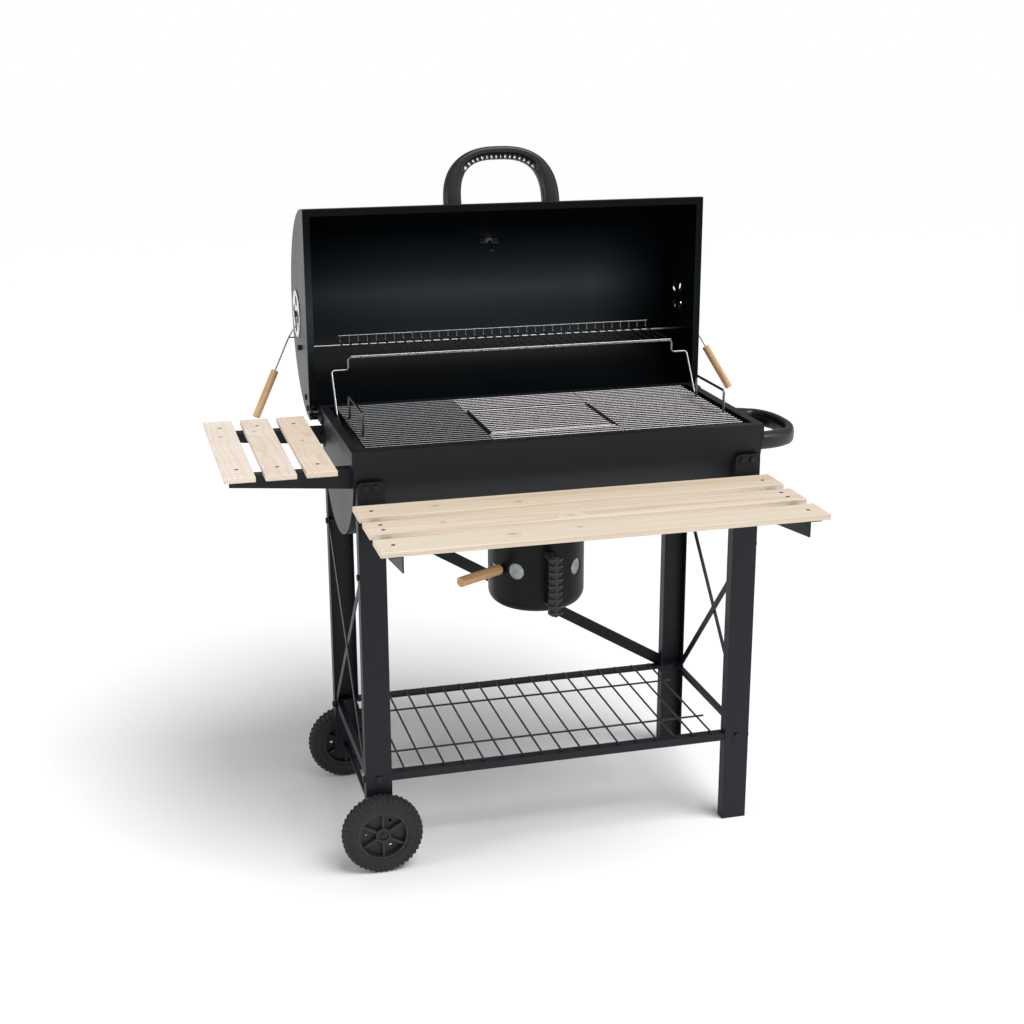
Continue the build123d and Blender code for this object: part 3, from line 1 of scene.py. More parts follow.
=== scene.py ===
"""Looks for the barrel charcoal grill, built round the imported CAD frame.

Metres, Z up, cook's side at -Y."""
import math
import random

import bmesh
import bpy
from mathutils import Matrix, Vector


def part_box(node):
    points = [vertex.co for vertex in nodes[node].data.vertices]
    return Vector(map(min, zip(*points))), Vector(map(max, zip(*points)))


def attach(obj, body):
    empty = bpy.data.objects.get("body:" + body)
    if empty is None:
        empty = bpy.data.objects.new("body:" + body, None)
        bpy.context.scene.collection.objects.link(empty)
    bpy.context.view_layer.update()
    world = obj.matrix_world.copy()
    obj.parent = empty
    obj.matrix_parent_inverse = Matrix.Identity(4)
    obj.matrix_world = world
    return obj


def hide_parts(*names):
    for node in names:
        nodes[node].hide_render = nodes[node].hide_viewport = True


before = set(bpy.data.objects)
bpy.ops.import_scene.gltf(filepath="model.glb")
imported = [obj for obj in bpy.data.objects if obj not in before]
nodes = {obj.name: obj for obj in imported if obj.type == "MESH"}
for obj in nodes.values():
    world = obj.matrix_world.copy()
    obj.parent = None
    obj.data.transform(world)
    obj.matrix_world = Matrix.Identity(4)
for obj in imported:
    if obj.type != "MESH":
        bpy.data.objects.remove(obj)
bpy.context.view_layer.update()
rng = random.Random(7)


# ---------------------------------------------------------------- node helpers
def new_material(name):
    mat = bpy.data.materials.new(name)
    mat.use_nodes = True
    tree = mat.node_tree
    tree.nodes.clear()
    out = tree.nodes.new("ShaderNodeOutputMaterial")
    bsdf = tree.nodes.new("ShaderNodeBsdfPrincipled")
    tree.links.new(bsdf.outputs["BSDF"], out.inputs["Surface"])
    return mat, tree, bsdf


def math_node(tree, op, a, b=None):
    made = tree.nodes.new("ShaderNodeMath")
    made.operation = op
    for i, v in enumerate((a, b)):
        if v is None:
            continue
        if isinstance(v, (int, float)):
            made.inputs[i].default_value = v
        else:
            tree.links.new(v, made.inputs[i])
    return made.outputs[0]


def ramp(tree, source, stops):
    made = tree.nodes.new("ShaderNodeValToRGB")
    el = made.color_ramp.elements
    while len(el) < len(stops):
        el.new(0.5)
    for e, (pos, col) in zip(el, stops):
        e.position = pos
        e.color = (*col, 1.0)
    tree.links.new(source, made.inputs["Fac"])
    return made.outputs["Color"]


def mix(tree, kind, fac, a, b):
    made = tree.nodes.new("ShaderNodeMix")
    made.data_type = "RGBA"
    made.blend_type = kind
    for key, v in ((0, fac), (6, a), (7, b)):
        if isinstance(v, (int, float)):
            made.inputs[key].default_value = v
        elif isinstance(v, tuple):
            made.inputs[key].default_value = (*v, 1.0)
        else:
            tree.links.new(v, made.inputs[key])
    return made.outputs[2]


def object_coords(tree, rotation=(0, 0, 0), offset=(0, 0, 0), scale=(1, 1, 1)):
    tex = tree.nodes.new("ShaderNodeTexCoord")
    mapping = tree.nodes.new("ShaderNodeMapping")
    mapping.vector_type = "POINT"
    mapping.inputs["Location"].default_value = offset
    mapping.inputs["Rotation"].default_value = rotation
    mapping.inputs["Scale"].default_value = scale
    tree.links.new(tex.outputs["Object"], mapping.inputs["Vector"])
    return mapping.outputs["Vector"]


def noise(tree, vector, scale, detail=2.0, rough=0.5):
    made = tree.nodes.new("ShaderNodeTexNoise")
    made.inputs["Scale"].default_value = scale
    made.inputs["Detail"].default_value = detail
    made.inputs["Roughness"].default_value = rough
    tree.links.new(vector, made.inputs["Vector"])
    return made.outputs["Fac"]


def vector_math(tree, op, a, b=None):
    """Vector Math node of two inputs, either of which may be a socket or a constant."""
    made = tree.nodes.new("ShaderNodeVectorMath")
    made.operation = op
    for i, v in enumerate((a, b)):
        if isinstance(v, tuple):
            made.inputs[i].default_value = v
        elif v is not None:
            tree.links.new(v, made.inputs[i])
    return made.outputs["Value" if op == "LENGTH" else "Vector"]


def hypotenuse(tree, a, b):
    """Length of the vector (a, b)."""
    squares = [math_node(tree, "MULTIPLY", v, v) for v in (a, b)]
    return math_node(tree, "SQRT", math_node(tree, "ADD", *squares))


def bump(tree, bsdf, height, strength, distance):
    made = tree.nodes.new("ShaderNodeBump")
    made.inputs["Strength"].default_value = strength
    made.inputs["Distance"].default_value = distance
    tree.links.new(height, made.inputs["Height"])
    tree.links.new(made.outputs["Normal"], bsdf.inputs["Normal"])


def powder_coat(name, base, rough, shine):
    """Satin powder coat: fine orange peel, faint dust, slightly uneven gloss."""
    mat, tree, bsdf = new_material(name)
    where = object_coords(tree)
    cloud = noise(tree, where, 6.0, 3.0, 0.6)
    peel = noise(tree, where, 1400.0, 2.0, 0.6)
    colour = ramp(tree, cloud, [(0.3, base), (0.75, tuple(c * 1.22 for c in base))])
    tree.links.new(colour, bsdf.inputs["Base Color"])
    gloss = math_node(tree, "MULTIPLY_ADD", cloud, 0.14)
    gloss.node.inputs[2].default_value = rough - 0.07
    tree.links.new(gloss, bsdf.inputs["Roughness"])
    bsdf.inputs["Specular IOR Level"].default_value = shine
    bump(tree, bsdf, peel, 0.22, 0.0002)
    return mat


def grey(level):
    return (level, level, level)


# painted light inside the lid: strength of a painted reflection by height and by length, and the near-black
# painted shade and blue-grey painted reflection colours it mixes between
PAINTED_REFLECTION_BY_HEIGHT = ((0.22, 0.0), (0.40, 0.75), (0.52, 1.0), (0.68, 0.45), (0.86, 0.0))
PAINTED_REFLECTION_BY_LENGTH = ((0.08, 0.5), (0.35, 1.0), (0.74, 1.0), (0.91, 0.0))
INNER_PAINTED_SHADE, INNER_PAINTED_REFLECTION = (0.0016, 0.0026, 0.0036), (0.0200, 0.0380, 0.0480)


def lid_coat_painted_light(name, base, rough, shine, axis, wall_r, wall_x):
    """Powder coat; inside the barrel it is painted light: deep black as painted shade, with a softer
    blue-grey band along its middle as a painted reflection.
    """
    mat = powder_coat(name, base, rough, shine)
    tree = mat.node_tree
    bsdf = tree.nodes["Principled BSDF"]
    split = tree.nodes.new("ShaderNodeSeparateXYZ")
    tree.links.new(object_coords(tree, offset=tuple(-axis)), split.inputs["Vector"])
    x, y, z = split.outputs
    inside = math_node(tree, "MULTIPLY", math_node(tree, "LESS_THAN", hypotenuse(tree, y, z), wall_r),
                       math_node(tree, "LESS_THAN", math_node(tree, "ABSOLUTE", x), wall_x))
    # the ramps run from 0 to 1 over z = -0.2 to 0.2 m and over x = -0.5 to 0.5 m
    height = math_node(tree, "ADD", math_node(tree, "MULTIPLY", z, 2.5), 0.5)
    length = math_node(tree, "ADD", x, 0.5)
    # painted reflection across the middle of the inside, fading to painted shade towards the top, the
    # bottom and the ends
    band = ramp(tree, height, [(at, grey(v)) for at, v in PAINTED_REFLECTION_BY_HEIGHT])
    painted_reflection_fade = ramp(tree, length, [(at, grey(v)) for at, v in PAINTED_REFLECTION_BY_LENGTH])
    band = mix(tree, "MULTIPLY", 1.0, band, painted_reflection_fade)
    inner = mix(tree, "MIX", band, INNER_PAINTED_SHADE, INNER_PAINTED_REFLECTION)
    coat = bsdf.inputs["Base Color"].links[0].from_socket
    tree.links.new(mix(tree, "MIX", inside, coat, inner), bsdf.inputs["Base Color"])
    # painted highlight: more specular level where the painted reflection lies, little where the painted
    # shade lies
    inner_painted_highlight = mix(tree, "MIX", band, grey(0.09), grey(0.5))
    tree.links.new(mix(tree, "MIX", inside, grey(shine), inner_painted_highlight), bsdf.inputs["Specular IOR Level"])
    return mat


def plastic(name, base, rough, grain_scale=900.0, grain=0.25):
    mat, tree, bsdf = new_material(name)
    where = object_coords(tree)
    fine = noise(tree, where, grain_scale, 3.0, 0.6)
    wide = noise(tree, where, 14.0, 2.0, 0.5)
    tree.links.new(ramp(tree, wide, [(0.3, base), (0.8, tuple(c * 1.3 for c in base))]),
                   bsdf.inputs["Base Color"])
    bsdf.inputs["Roughness"].default_value = rough
    bsdf.inputs["Specular IOR Level"].default_value = 0.4
    bump(tree, bsdf, fine, grain, 0.0002)
    return mat


def metal(name, base, rough, wear):
    mat, tree, bsdf = new_material(name)
    where = object_coords(tree)
    patch = noise(tree, where, 60.0, 4.0, 0.65)
    dull = tuple(c * 0.78 for c in base)
    tree.links.new(ramp(tree, patch, [(0.25, dull), (0.7, base)]), bsdf.inputs["Base Color"])
    gloss = math_node(tree, "MULTIPLY_ADD", patch, wear)
    gloss.node.inputs[2].default_value = rough
    tree.links.new(gloss, bsdf.inputs["Roughness"])
    bsdf.inputs["Metallic"].default_value = 1.0
    return mat


def zinc(name):
    mat, tree, bsdf = new_material(name)
    where = object_coords(tree)
    cells = tree.nodes.new("ShaderNodeTexVoronoi")
    cells.inputs["Scale"].default_value = 120.0
    tree.links.new(where, cells.inputs["Vector"])
    fac = noise(tree, cells.outputs["Color"], 3.0, 1.0)
    tree.links.new(ramp(tree, fac, [(0.35, (0.26, 0.29, 0.29)), (0.65, (0.40, 0.43, 0.43))]),
                   bsdf.inputs["Base Color"])
    bsdf.inputs["Metallic"].default_value = 0.85
    bsdf.inputs["Roughness"].default_value = 0.42
    return mat


def plain(name, base, rough):
    mat, tree, bsdf = new_material(name)
    bsdf.inputs["Base Color"].default_value = (*base, 1.0)
    bsdf.inputs["Roughness"].default_value = rough
    return mat


def turn_to_x(direction):
    """Mapping rotation that lays direction along the texture's X."""
    return Vector(direction).rotation_difference(Vector((1, 0, 0))).to_euler()


EULER = 2.718
# in the board's own axes, X along the grain: scales of the noises
PORES = (9.0, 260.0, 260.0)
CLOUDS = (1.2, 16.0, 16.0)
WANDER = (0.9, 5.0, 5.0)
WANDER_SIZE = (0.0, 0.030, 0.024)   # how far the noise moves the rings, in metres
KNOT_SHAPE = (0.55, 1.0, 0.2)       # distances from a knot are scaled by this


def bell(tree, distance, sharpness):
    """Smooth hump, 1 where distance is 0."""
    square = math_node(tree, "MULTIPLY", distance, distance)
    return math_node(tree, "POWER", EULER, math_node(tree, "MULTIPLY", square, -sharpness))


def wood(name, direction, seed, pale, dark, ring, knots, pith):
    """Sawn pine: growth rings cut by the board, pores, streaks and knots, grain along direction."""
    mat, tree, bsdf = new_material(name)
    r = random.Random(seed)
    offset = (r.uniform(-3, 3), r.uniform(-0.4, 0.4), 0.0)
    turn = turn_to_x(direction)
    where = object_coords(tree, turn)
    wobble = tree.nodes.new("ShaderNodeTexNoise")
    wobble.inputs["Scale"].default_value = 1.0
    wobble.inputs["Detail"].default_value = 2.0
    tree.links.new(object_coords(tree, turn, offset, WANDER), wobble.inputs["Vector"])
    centred = vector_math(tree, "SUBTRACT", wobble.outputs["Color"], (0.5, 0.5, 0.5))
    moved = vector_math(tree, "ADD", where, vector_math(tree, "MULTIPLY", centred, WANDER_SIZE))
    split = tree.nodes.new("ShaderNodeSeparateXYZ")
    tree.links.new(moved, split.inputs[0])
    across = math_node(tree, "SUBTRACT", split.outputs["Y"], pith[0])
    up = math_node(tree, "SUBTRACT", split.outputs["Z"], pith[1])
    dist = hypotenuse(tree, across, up)
    knot_mask = None
    for kx, ky, kz, size in knots:
        gap = vector_math(tree, "SUBTRACT", where, (kx, ky, kz))
        squashed = vector_math(tree, "MULTIPLY", gap, KNOT_SHAPE)
        near = math_node(tree, "DIVIDE", vector_math(tree, "LENGTH", squashed), size)
        swirl = math_node(tree, "MULTIPLY", bell(tree, near, 0.25), ring * 2.6)
        dist = math_node(tree, "ADD", dist, swirl)
        core = bell(tree, near, 2.2)
        knot_mask = core if knot_mask is None else math_node(tree, "MAXIMUM", knot_mask, core)
    phase = math_node(tree, "FRACT", math_node(tree, "DIVIDE", dist, ring))
    streak = noise(tree, object_coords(tree, turn, offset, PORES), 1.0, 4.0, 0.65)
    broad = noise(tree, object_coords(tree, turn, offset, CLOUDS), 1.0, 2.0, 0.5)
    mid = tuple((p + d) / 2 for p, d in zip(pale, dark))
    rings = ramp(tree, phase, [(0.0, pale), (0.5, pale), (0.80, mid), (0.93, dark), (1.0, pale)])
    soft = mix(tree, "MIX", 0.45, rings, tuple(p * 0.98 for p in pale))
    lines = ramp(tree, streak, [(0.3, (0.80, 0.74, 0.66)), (0.62, (1, 1, 1))])
    stains = ramp(tree, broad, [(0.3, (0.90, 0.84, 0.76)), (0.7, (1, 1, 1))])
    shaded = mix(tree, "MULTIPLY", 0.55, mix(tree, "MULTIPLY", 0.35, soft, lines), stains)
    if knot_mask is not None:
        heart = tuple(d * 0.45 for d in dark)
        shaded = mix(tree, "MIX", math_node(tree, "MULTIPLY", knot_mask, 0.75), shaded, heart)
    tree.links.new(shaded, bsdf.inputs["Base Color"])
    bsdf.inputs["Roughness"].default_value = 0.62
    bsdf.inputs["Specular IOR Level"].default_value = 0.3
    bump(tree, bsdf, streak, 0.25, 0.0003)
    return mat


# ---------------------------------------------------------------- materials
SHEET = 0.0015      # the lid's steel
end_low, end_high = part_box("lid_end_left")
shell_low, shell_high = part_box("lid_shell")
LID_AXIS = Vector(((shell_low.x + shell_high.x) / 2, end_low.y, (end_low.z + end_high.z) / 2))
# middle of the lid's sheet: the round wall from the axis, the flat ends from the plane halfway between them
LID_WALL_R = (end_high.z - end_low.z) / 2 - SHEET / 2
LID_WALL_X = LID_AXIS.x - end_low.x - SHEET / 2

BODY = powder_coat("body_black", (0.0052, 0.0064, 0.0086), 0.46, 0.30)
CUP = powder_coat("cup_black", (0.0040, 0.0042, 0.0046), 0.34, 0.16)
LEG = powder_coat("leg_black", (0.0062, 0.0075, 0.0110), 0.48, 0.30)
LID = lid_coat_painted_light("lid_black_painted_inside_light", (0.0046, 0.0054, 0.0066), 0.40, 0.42, LID_AXIS, LID_WALL_R, LID_WALL_X)
GRID = powder_coat("wire_black", (0.0200, 0.0200, 0.0200), 0.45, 0.42)
CHROME = metal("chrome_wire", (0.27, 0.255, 0.26), 0.24, 0.12)
# painted shade: the grate chrome made darker for the left grate, standing in for the lid's shade and its
# weaker reflections
SHADED = metal("chrome_wire_painted_shade", (0.115, 0.118, 0.12), 0.24, 0.12)
RACK = metal("chrome_rack", (0.33, 0.33, 0.335), 0.24, 0.12)
DISC = metal("chrome_disc", (0.75, 0.76, 0.77), 0.20, 0.10)
IRON = metal("bare_wire", (0.40, 0.40, 0.40), 0.34, 0.15)
ZINC = zinc("galvanised")
BRIGHT = metal("bright_zinc", (0.62, 0.61, 0.57), 0.30, 0.12)
BOLT = metal("dark_bolt", (0.045, 0.045, 0.047), 0.36, 0.15)
HANDLE = plastic("handle_plastic", (0.0125, 0.0125, 0.0145), 0.38)
CUP_GRIP = plastic("cup_grip_plastic", (0.0200, 0.0210, 0.0210), 0.50)
HUB = plastic("hub_plastic", (0.0170, 0.0175, 0.0185), 0.48)
TYRE = plastic("tyre_rubber", (0.0165, 0.0160, 0.0160), 0.74, 500.0, 0.4)
DIAL = plain("dial_white", (0.80, 0.80, 0.77), 0.45)
NEEDLE = plain("needle_red", (0.50, 0.02, 0.015), 0.4)
INK = plain("dial_ink", (0.02, 0.02, 0.02), 0.5)
ZONES = [plain("dial_blue", (0.10, 0.22, 0.45), 0.5), plain("dial_green", (0.12, 0.38, 0.12), 0.5),
         plain("dial_red", (0.55, 0.06, 0.03), 0.5)]

GLASS, _, glass_bsdf = new_material("dial_glass")
for key, value in (("Base Color", (0.96, 0.98, 0.98, 1.0)), ("Roughness", 0.03),
                   ("Transmission Weight", 1.0), ("IOR", 1.3)):
    glass_bsdf.inputs[key].default_value = value

# pale and dark wood of each slat
TONES = (((0.735, 0.645, 0.520), (0.60, 0.44, 0.28)), ((0.755, 0.650, 0.540), (0.63, 0.43, 0.29)),
         ((0.760, 0.680, 0.565), (0.62, 0.47, 0.30)), ((0.775, 0.675, 0.560), (0.70, 0.50, 0.36)),
         ((0.800, 0.715, 0.640), (0.70, 0.53, 0.42)), ((0.830, 0.750, 0.670), (0.72, 0.57, 0.46)))
shelf_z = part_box("shelf_slat_rear")[1].z
table_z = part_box("table_slat_inner")[1].z
middle = {n: (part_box(n)[0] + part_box(n)[1]) / 2 for n in nodes if "slat_" in n and "screws" not in n}
SHELF_RING, TABLE_RING, DOWEL_RING = 0.0085, 0.0075, 0.0042
wood_of = {}
for i, name in enumerate(("shelf_slat_rear", "shelf_slat_middle", "shelf_slat_front")):
    c = middle[name]
    spots = [(c.x + rng.uniform(-0.3, 0.3), c.y + rng.uniform(-0.02, 0.02), shelf_z,
              rng.uniform(0.004, 0.007)) for _ in range(2)]
    wood_of[name] = wood("pine_" + name, (1, 0, 0), 20 + i, *TONES[i], SHELF_RING, spots,
                         (c.y + (0.012, -0.02, 0.03)[i], shelf_z - (0.035, 0.055, 0.028)[i]))
for i, name in enumerate(("table_slat_inner", "table_slat_middle", "table_slat_outer")):
    c = middle[name]
    spots = [(-(c.y + rng.uniform(-0.12, 0.12)), c.x + rng.uniform(-0.012, 0.012), table_z, 0.005)]
    wood_of[name] = wood("pine_" + name, (0, -1, 0), 40 + i, *TONES[3 + i], TABLE_RING, spots,
                         (c.x + (0.01, -0.015, 0.02)[i], table_z - (0.03, 0.045, 0.035)[i]))


def grip_line(name):
    """Axis direction of a dowel, from its own vertices."""
    co = [v.co.copy() for v in nodes[name].data.vertices]
    centre = sum(co, Vector()) / len(co)
    far = max(co, key=lambda p: (p - centre).length)
    other = max(co, key=lambda p: (p - far).length)
    # each end is the mean of the vertices within 22 mm of its farthest one
    ends = [[p for p in co if (p - e).length < 0.022] for e in (far, other)]
    a, b = (sum(e, Vector()) / len(e) for e in ends)
    return (b - a).normalized(), centre


DOWEL, DOWEL_DARK = (0.66, 0.42, 0.22), (0.42, 0.22, 0.09)
for i, name in enumerate(("vent_grip_left", "vent_grip_right", "damper_grip")):
    along, centre = grip_line(name)
    spot = turn_to_x(along).to_matrix() @ centre
    wood_of[name] = wood("dowel_" + name, along, 60 + i, DOWEL, DOWEL_DARK, DOWEL_RING, (),
                         (spot.y + 0.012, spot.z - 0.02))

PAINT = {
    BODY: ["bowl_shell", "bowl_end_left", "bowl_end_right", "grate_rests", "hinge_brackets",
           "shelf_brackets", "table_brackets"],
    CUP: ["ash_cup", "ash_collar"],
    LID: ["lid_shell", "lid_end_left", "lid_end_right", "lid_hinge_plates"],
    LEG: ["leg_front_left", "leg_front_right", "leg_rear_left", "leg_rear_right", "shelf_rails",
          "side_rails", "side_braces", "rear_brace", "wheel_axle"],
    GRID: ["shelf_grid"],
    CHROME: ["grate_right", "grate_middle", "grate_insert", "thermometer_case"],
    # the left grate takes the darker chrome as painted shade
    SHADED: ["grate_left"],
    RACK: ["warming_rack", "rack_legs"],
    DISC: ["vent_disc_left", "vent_disc_right"],
    IRON: ["charcoal_grate"],
    ZINC: ["ash_damper_ring"],
    BRIGHT: ["thermometer_nut"],
    BOLT: ["slat_screws", "frame_bolts", "lid_bolts", "hinge_pins"],
    HANDLE: ["lid_handle", "side_handle", "rack_end_caps", "axle_caps"],
    CUP_GRIP: ["ash_cup_handle"],
    HUB: ["wheel_hub_front", "wheel_hub_rear"],
    TYRE: ["tyre_front", "tyre_rear"],
    DIAL: ["thermometer_dial"],
    NEEDLE: ["thermometer_needle"],
    GLASS: ["thermometer_glass"],
}
for mat, names in list(PAINT.items()) + [(m, [n]) for n, m in wood_of.items()]:
    for name in names:
        nodes[name].data.materials.clear()
        nodes[name].data.materials.append(mat)


# ---------------------------------------------------------------- geometry helpers
def piece(name, mesh_verts, mesh_faces, mat, body, smooth=True, crease=math.radians(35)):
    mesh = bpy.data.meshes.new(name)
    mesh.from_pydata([tuple(v) for v in mesh_verts], [], mesh_faces)
    bm = bmesh.new()
    bm.from_mesh(mesh)
    bmesh.ops.remove_doubles(bm, verts=bm.verts, dist=1e-7)
    bmesh.ops.recalc_face_normals(bm, faces=bm.faces)
    bm.to_mesh(mesh)
    bm.free()
    obj = bpy.data.objects.new(name, mesh)
    bpy.context.scene.collection.objects.link(obj)
    mesh.materials.append(mat)
    if smooth:
        mesh.shade_smooth()
        mesh.set_sharp_from_angle(angle=crease)
    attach(obj, body)
    return obj


def grid_faces(rows, cols, wrap_rows=False, wrap_cols=True):
    """Quads of a rows x cols lattice of vertices."""
    faces = []
    for i in range(rows if wrap_rows else rows - 1):
        for j in range(cols if wrap_cols else cols - 1):
            a, b = i * cols + j, i * cols + (j + 1) % cols
            c, d = ((i + 1) % rows) * cols + (j + 1) % cols, ((i + 1) % rows) * cols + j
            faces.append((a, b, c, d))
    return faces


class Build:
    """Collects several closed solids into one mesh."""

    def __init__(self):
        self.verts, self.faces = [], []

    def add(self, verts, faces):
        base = len(self.verts)
        self.verts += [Vector(v) for v in verts]
        self.faces += [tuple(base + i for i in f) for f in faces]

    def brick(self, centre, axes, half, round_by=0.0):
        """Box on three axes with its long edges chamfered by round_by."""
        x, y, z = axes
        a, b, c = half
        k = min(round_by, a * 0.9, b * 0.9)
        outline = [(a, b - k), (a - k, b), (-a + k, b), (-a, b - k),
                   (-a, -b + k), (-a + k, -b), (a - k, -b), (a, -b + k)]
        if k == 0:
            outline = [(a, b), (-a, b), (-a, -b), (a, -b)]
        n = len(outline)
        verts = [centre + x * u + y * v + z * w for w in (-c, c) for u, v in outline]
        faces = grid_faces(2, n) + [tuple(range(n))[::-1], tuple(range(n, 2 * n))]
        self.add(verts, faces)


def power(c, e):
    return math.copysign(abs(c) ** e, c)


# ---------------------------------------------------------------- arch handles
# outer and inner edge of the arch: half width, height and exponent of the superellipse
SPAN, FULL = (0.1205, 0.1155), 2.5
INNER, FULL_IN = (0.0845, 0.0900), 2.9
HALF_DEPTH = 0.0165
SECTION = 0.72              # exponent of the section; below 1 it is squarer than an ellipse
COMB_DEPTH = 0.0080         # how far the arch is cut back behind the ribs
RIB_COUNT, RIB_STEP = 15, 0.0093
RIB_HALF = (0.0024, 0.0046, 0.0050)


def arch_handle(name, origin, across, out, body, cad):
    """Moulded arch: rounded section, thicker at the feet, with a comb of finger ribs inside the top."""
    depth = out.cross(across).normalized()
    rows, cols = 61, 28
    verts = []
    build = Build()

    def edge(t, a, b, n):
        return across * (a * power(math.cos(t), 2 / n)) + out * (b * power(math.sin(t), 2 / n))

    def edges(t):
        return edge(t, *SPAN, FULL), edge(t, *INNER, FULL_IN)

    def comb(t):
        """1 behind the ribs, falling to 0 between 46 and 52 degrees from the top."""
        away = abs(t - math.pi / 2)
        return max(0.0, min(1.0, (math.radians(52) - away) / math.radians(6)))

    for i in range(rows):
        t = math.pi * i / (rows - 1)
        o, n = edges(t)
        width = (o - n).length
        n = n + (o - n) / width * COMB_DEPTH * comb(t)
        mid, arm = (o + n) / 2, (o - n) / 2
        for j in range(cols):
            s = 2 * math.pi * j / cols
            verts.append(origin + mid + arm * power(math.cos(s), SECTION)
                         + depth * HALF_DEPTH * power(math.sin(s), SECTION))
    faces = grid_faces(rows, cols)
    faces += [tuple(range(cols))[::-1], tuple(range((rows - 1) * cols, rows * cols))]
    build.add(verts, faces)
    # ribs at equal steps along the inside of the arch
    turns = [math.radians(20 + 140 * i / 400) for i in range(401)]
    run = [0.0]
    for a, b in zip(turns, turns[1:]):
        run.append(run[-1] + (edges(b)[1] - edges(a)[1]).length)
    for i in range(RIB_COUNT):
        want = run[-1] / 2 + (i - (RIB_COUNT - 1) / 2) * RIB_STEP
        t = next(a for a, r in zip(turns, run) if r >= want)
        o, n = edges(t)
        outward = (o - n).normalized()
        along = depth.cross(outward)
        build.brick(origin + n + outward * RIB_HALF[1], (along, outward, depth), RIB_HALF, 0.0006)
    # thin strip that joins the ribs' inner ends
    strip, bands, wide = [], 41, 8
    for i in range(bands):
        t = math.radians(36 + 108 * i / (bands - 1))
        o, n = edges(t)
        outward = (o - n).normalized()
        for j in range(wide):
            s = 2 * math.pi * (j + 0.5) / wide
            strip.append(origin + n + outward * (0.0013 + 0.0012 * power(math.sin(s), 0.6))
                         + depth * 0.0065 * power(math.cos(s), 0.6))
    build.add(strip, grid_faces(bands, wide) + [tuple(range(wide))[::-1],
                                                tuple(range((bands - 1) * wide, bands * wide))])
    obj = piece(name, build.verts, build.faces, HANDLE, body)
    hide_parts(cad)


X, Y, Z = Vector((1, 0, 0)), Vector((0, 1, 0)), Vector((0, 0, 1))
LIFT = 0.0002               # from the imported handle's feet out to the arch's
CAD_HALF_DEPTH = 0.017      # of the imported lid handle
lo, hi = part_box("lid_handle")
lean = math.radians(15.5)
out = Vector((0, math.sin(lean), math.cos(lean)))
# the far foot corner is the lowest point of the CAD handle
foot = Vector(((lo.x + hi.x) / 2, lo.y + CAD_HALF_DEPTH * math.cos(lean),
               lo.z + CAD_HALF_DEPTH * math.sin(lean)))
arch_handle("lid_handle_detail", foot + out * LIFT, X, out, "lid", "lid_handle")
lo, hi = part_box("side_handle")
arch_handle("side_handle_detail", Vector((lo.x + LIFT, (lo.y + hi.y) / 2, (lo.z + hi.z) / 2)),
            Y, X, "stand", "side_handle")

# ---------------------------------------------------------------- ribbed cup handle
lo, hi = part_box("ash_cup_handle")
centre_x = (lo.x + hi.x) / 2
z_mid, z_half = (lo.z + hi.z) / 2, (hi.z - lo.z) / 2
core_y = lo.y + 0.0095
cup_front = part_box("ash_cup")[0].y
CUP_RIBS = 9
RIB_MARGIN = 0.0065         # from each end of the bar to its outermost rib
ARM_UP, STRAP_UP = 0.112, 0.0145


def upright(build, x, y, z, half, round_by):
    build.brick(Vector((x, y, z)), (X, Y, Z), half, round_by)


def reach(build, z, overlap, half_x, half_z, round_by):
    """Brick from the bar's core to overlap beyond the front of the cup."""
    end = cup_front + overlap
    upright(build, centre_x, (core_y + end) / 2, z, (half_x, abs(end - core_y) / 2, half_z), round_by)


bar = Build()
upright(bar, centre_x, core_y + 0.0006, z_mid, (0.0085, 0.0070, z_half - 0.0005), 0.0030)
upright(bar, centre_x, lo.y + 0.0030, z_mid, (0.0026, 0.0030, z_half), 0.0010)
for i in range(CUP_RIBS):
    rib_z = lo.z + RIB_MARGIN + i * (2 * z_half - 2 * RIB_MARGIN) / (CUP_RIBS - 1)
    upright(bar, centre_x, core_y, rib_z, (0.0134, 0.0092, 0.0024), 0.0045)
for side in (-1, 1):
    upright(bar, centre_x + side * 0.0098, core_y + 0.002, z_mid, (0.0016, 0.0055, z_half - 0.004), 0.001)
reach(bar, lo.z + ARM_UP, 0.001, 0.0100, 0.0045, 0.001)
grip = piece("ash_cup_grip", bar.verts, bar.faces, CUP_GRIP, "ash_cup")
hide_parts("ash_cup_handle")
strap = Build()
reach(strap, lo.z + STRAP_UP, 0.0015, 0.0095, 0.0015, 0.0008)
strap_obj = piece("ash_cup_strap", strap.verts, strap.faces, BRIGHT, "ash_cup")


# ---------------------------------------------------------------- tyres
# half section of the tyre: radius and offset across in mm, and 1 where the lugs rise
TYRE_SECTION = [(50.0, -12.0, 0), (50.0, -15.4, 0), (50.8, -16.3, 0), (61.6, -16.3, 0), (62.2, -15.7, 0),
                (63.4, -15.7, 0), (64.0, -15.9, 0), (65.4, -15.5, 0), (65.7, -15.0, 1), (69.6, -14.1, 1),
                (72.8, -12.4, 1), (74.4, -9.6, 1), (75.1, -6.0, 1), (75.1, -2.0, 1), (75.1, -1.5, 0),
                (75.1, -0.4, 0)]
LUG_RISE, LUG_TOP_R = 2.3, 77.3
# within CROWN of the middle the lugs rise straight out, elsewhere away from the point at SHOULDER_R
SHOULDER_R, CROWN = 62.0, 7
LUG_PROFILE = (0.0, 0.0, 0.25, 1.0, 1.0, 1.0, 0.9, 0.2)
LUGS = 44


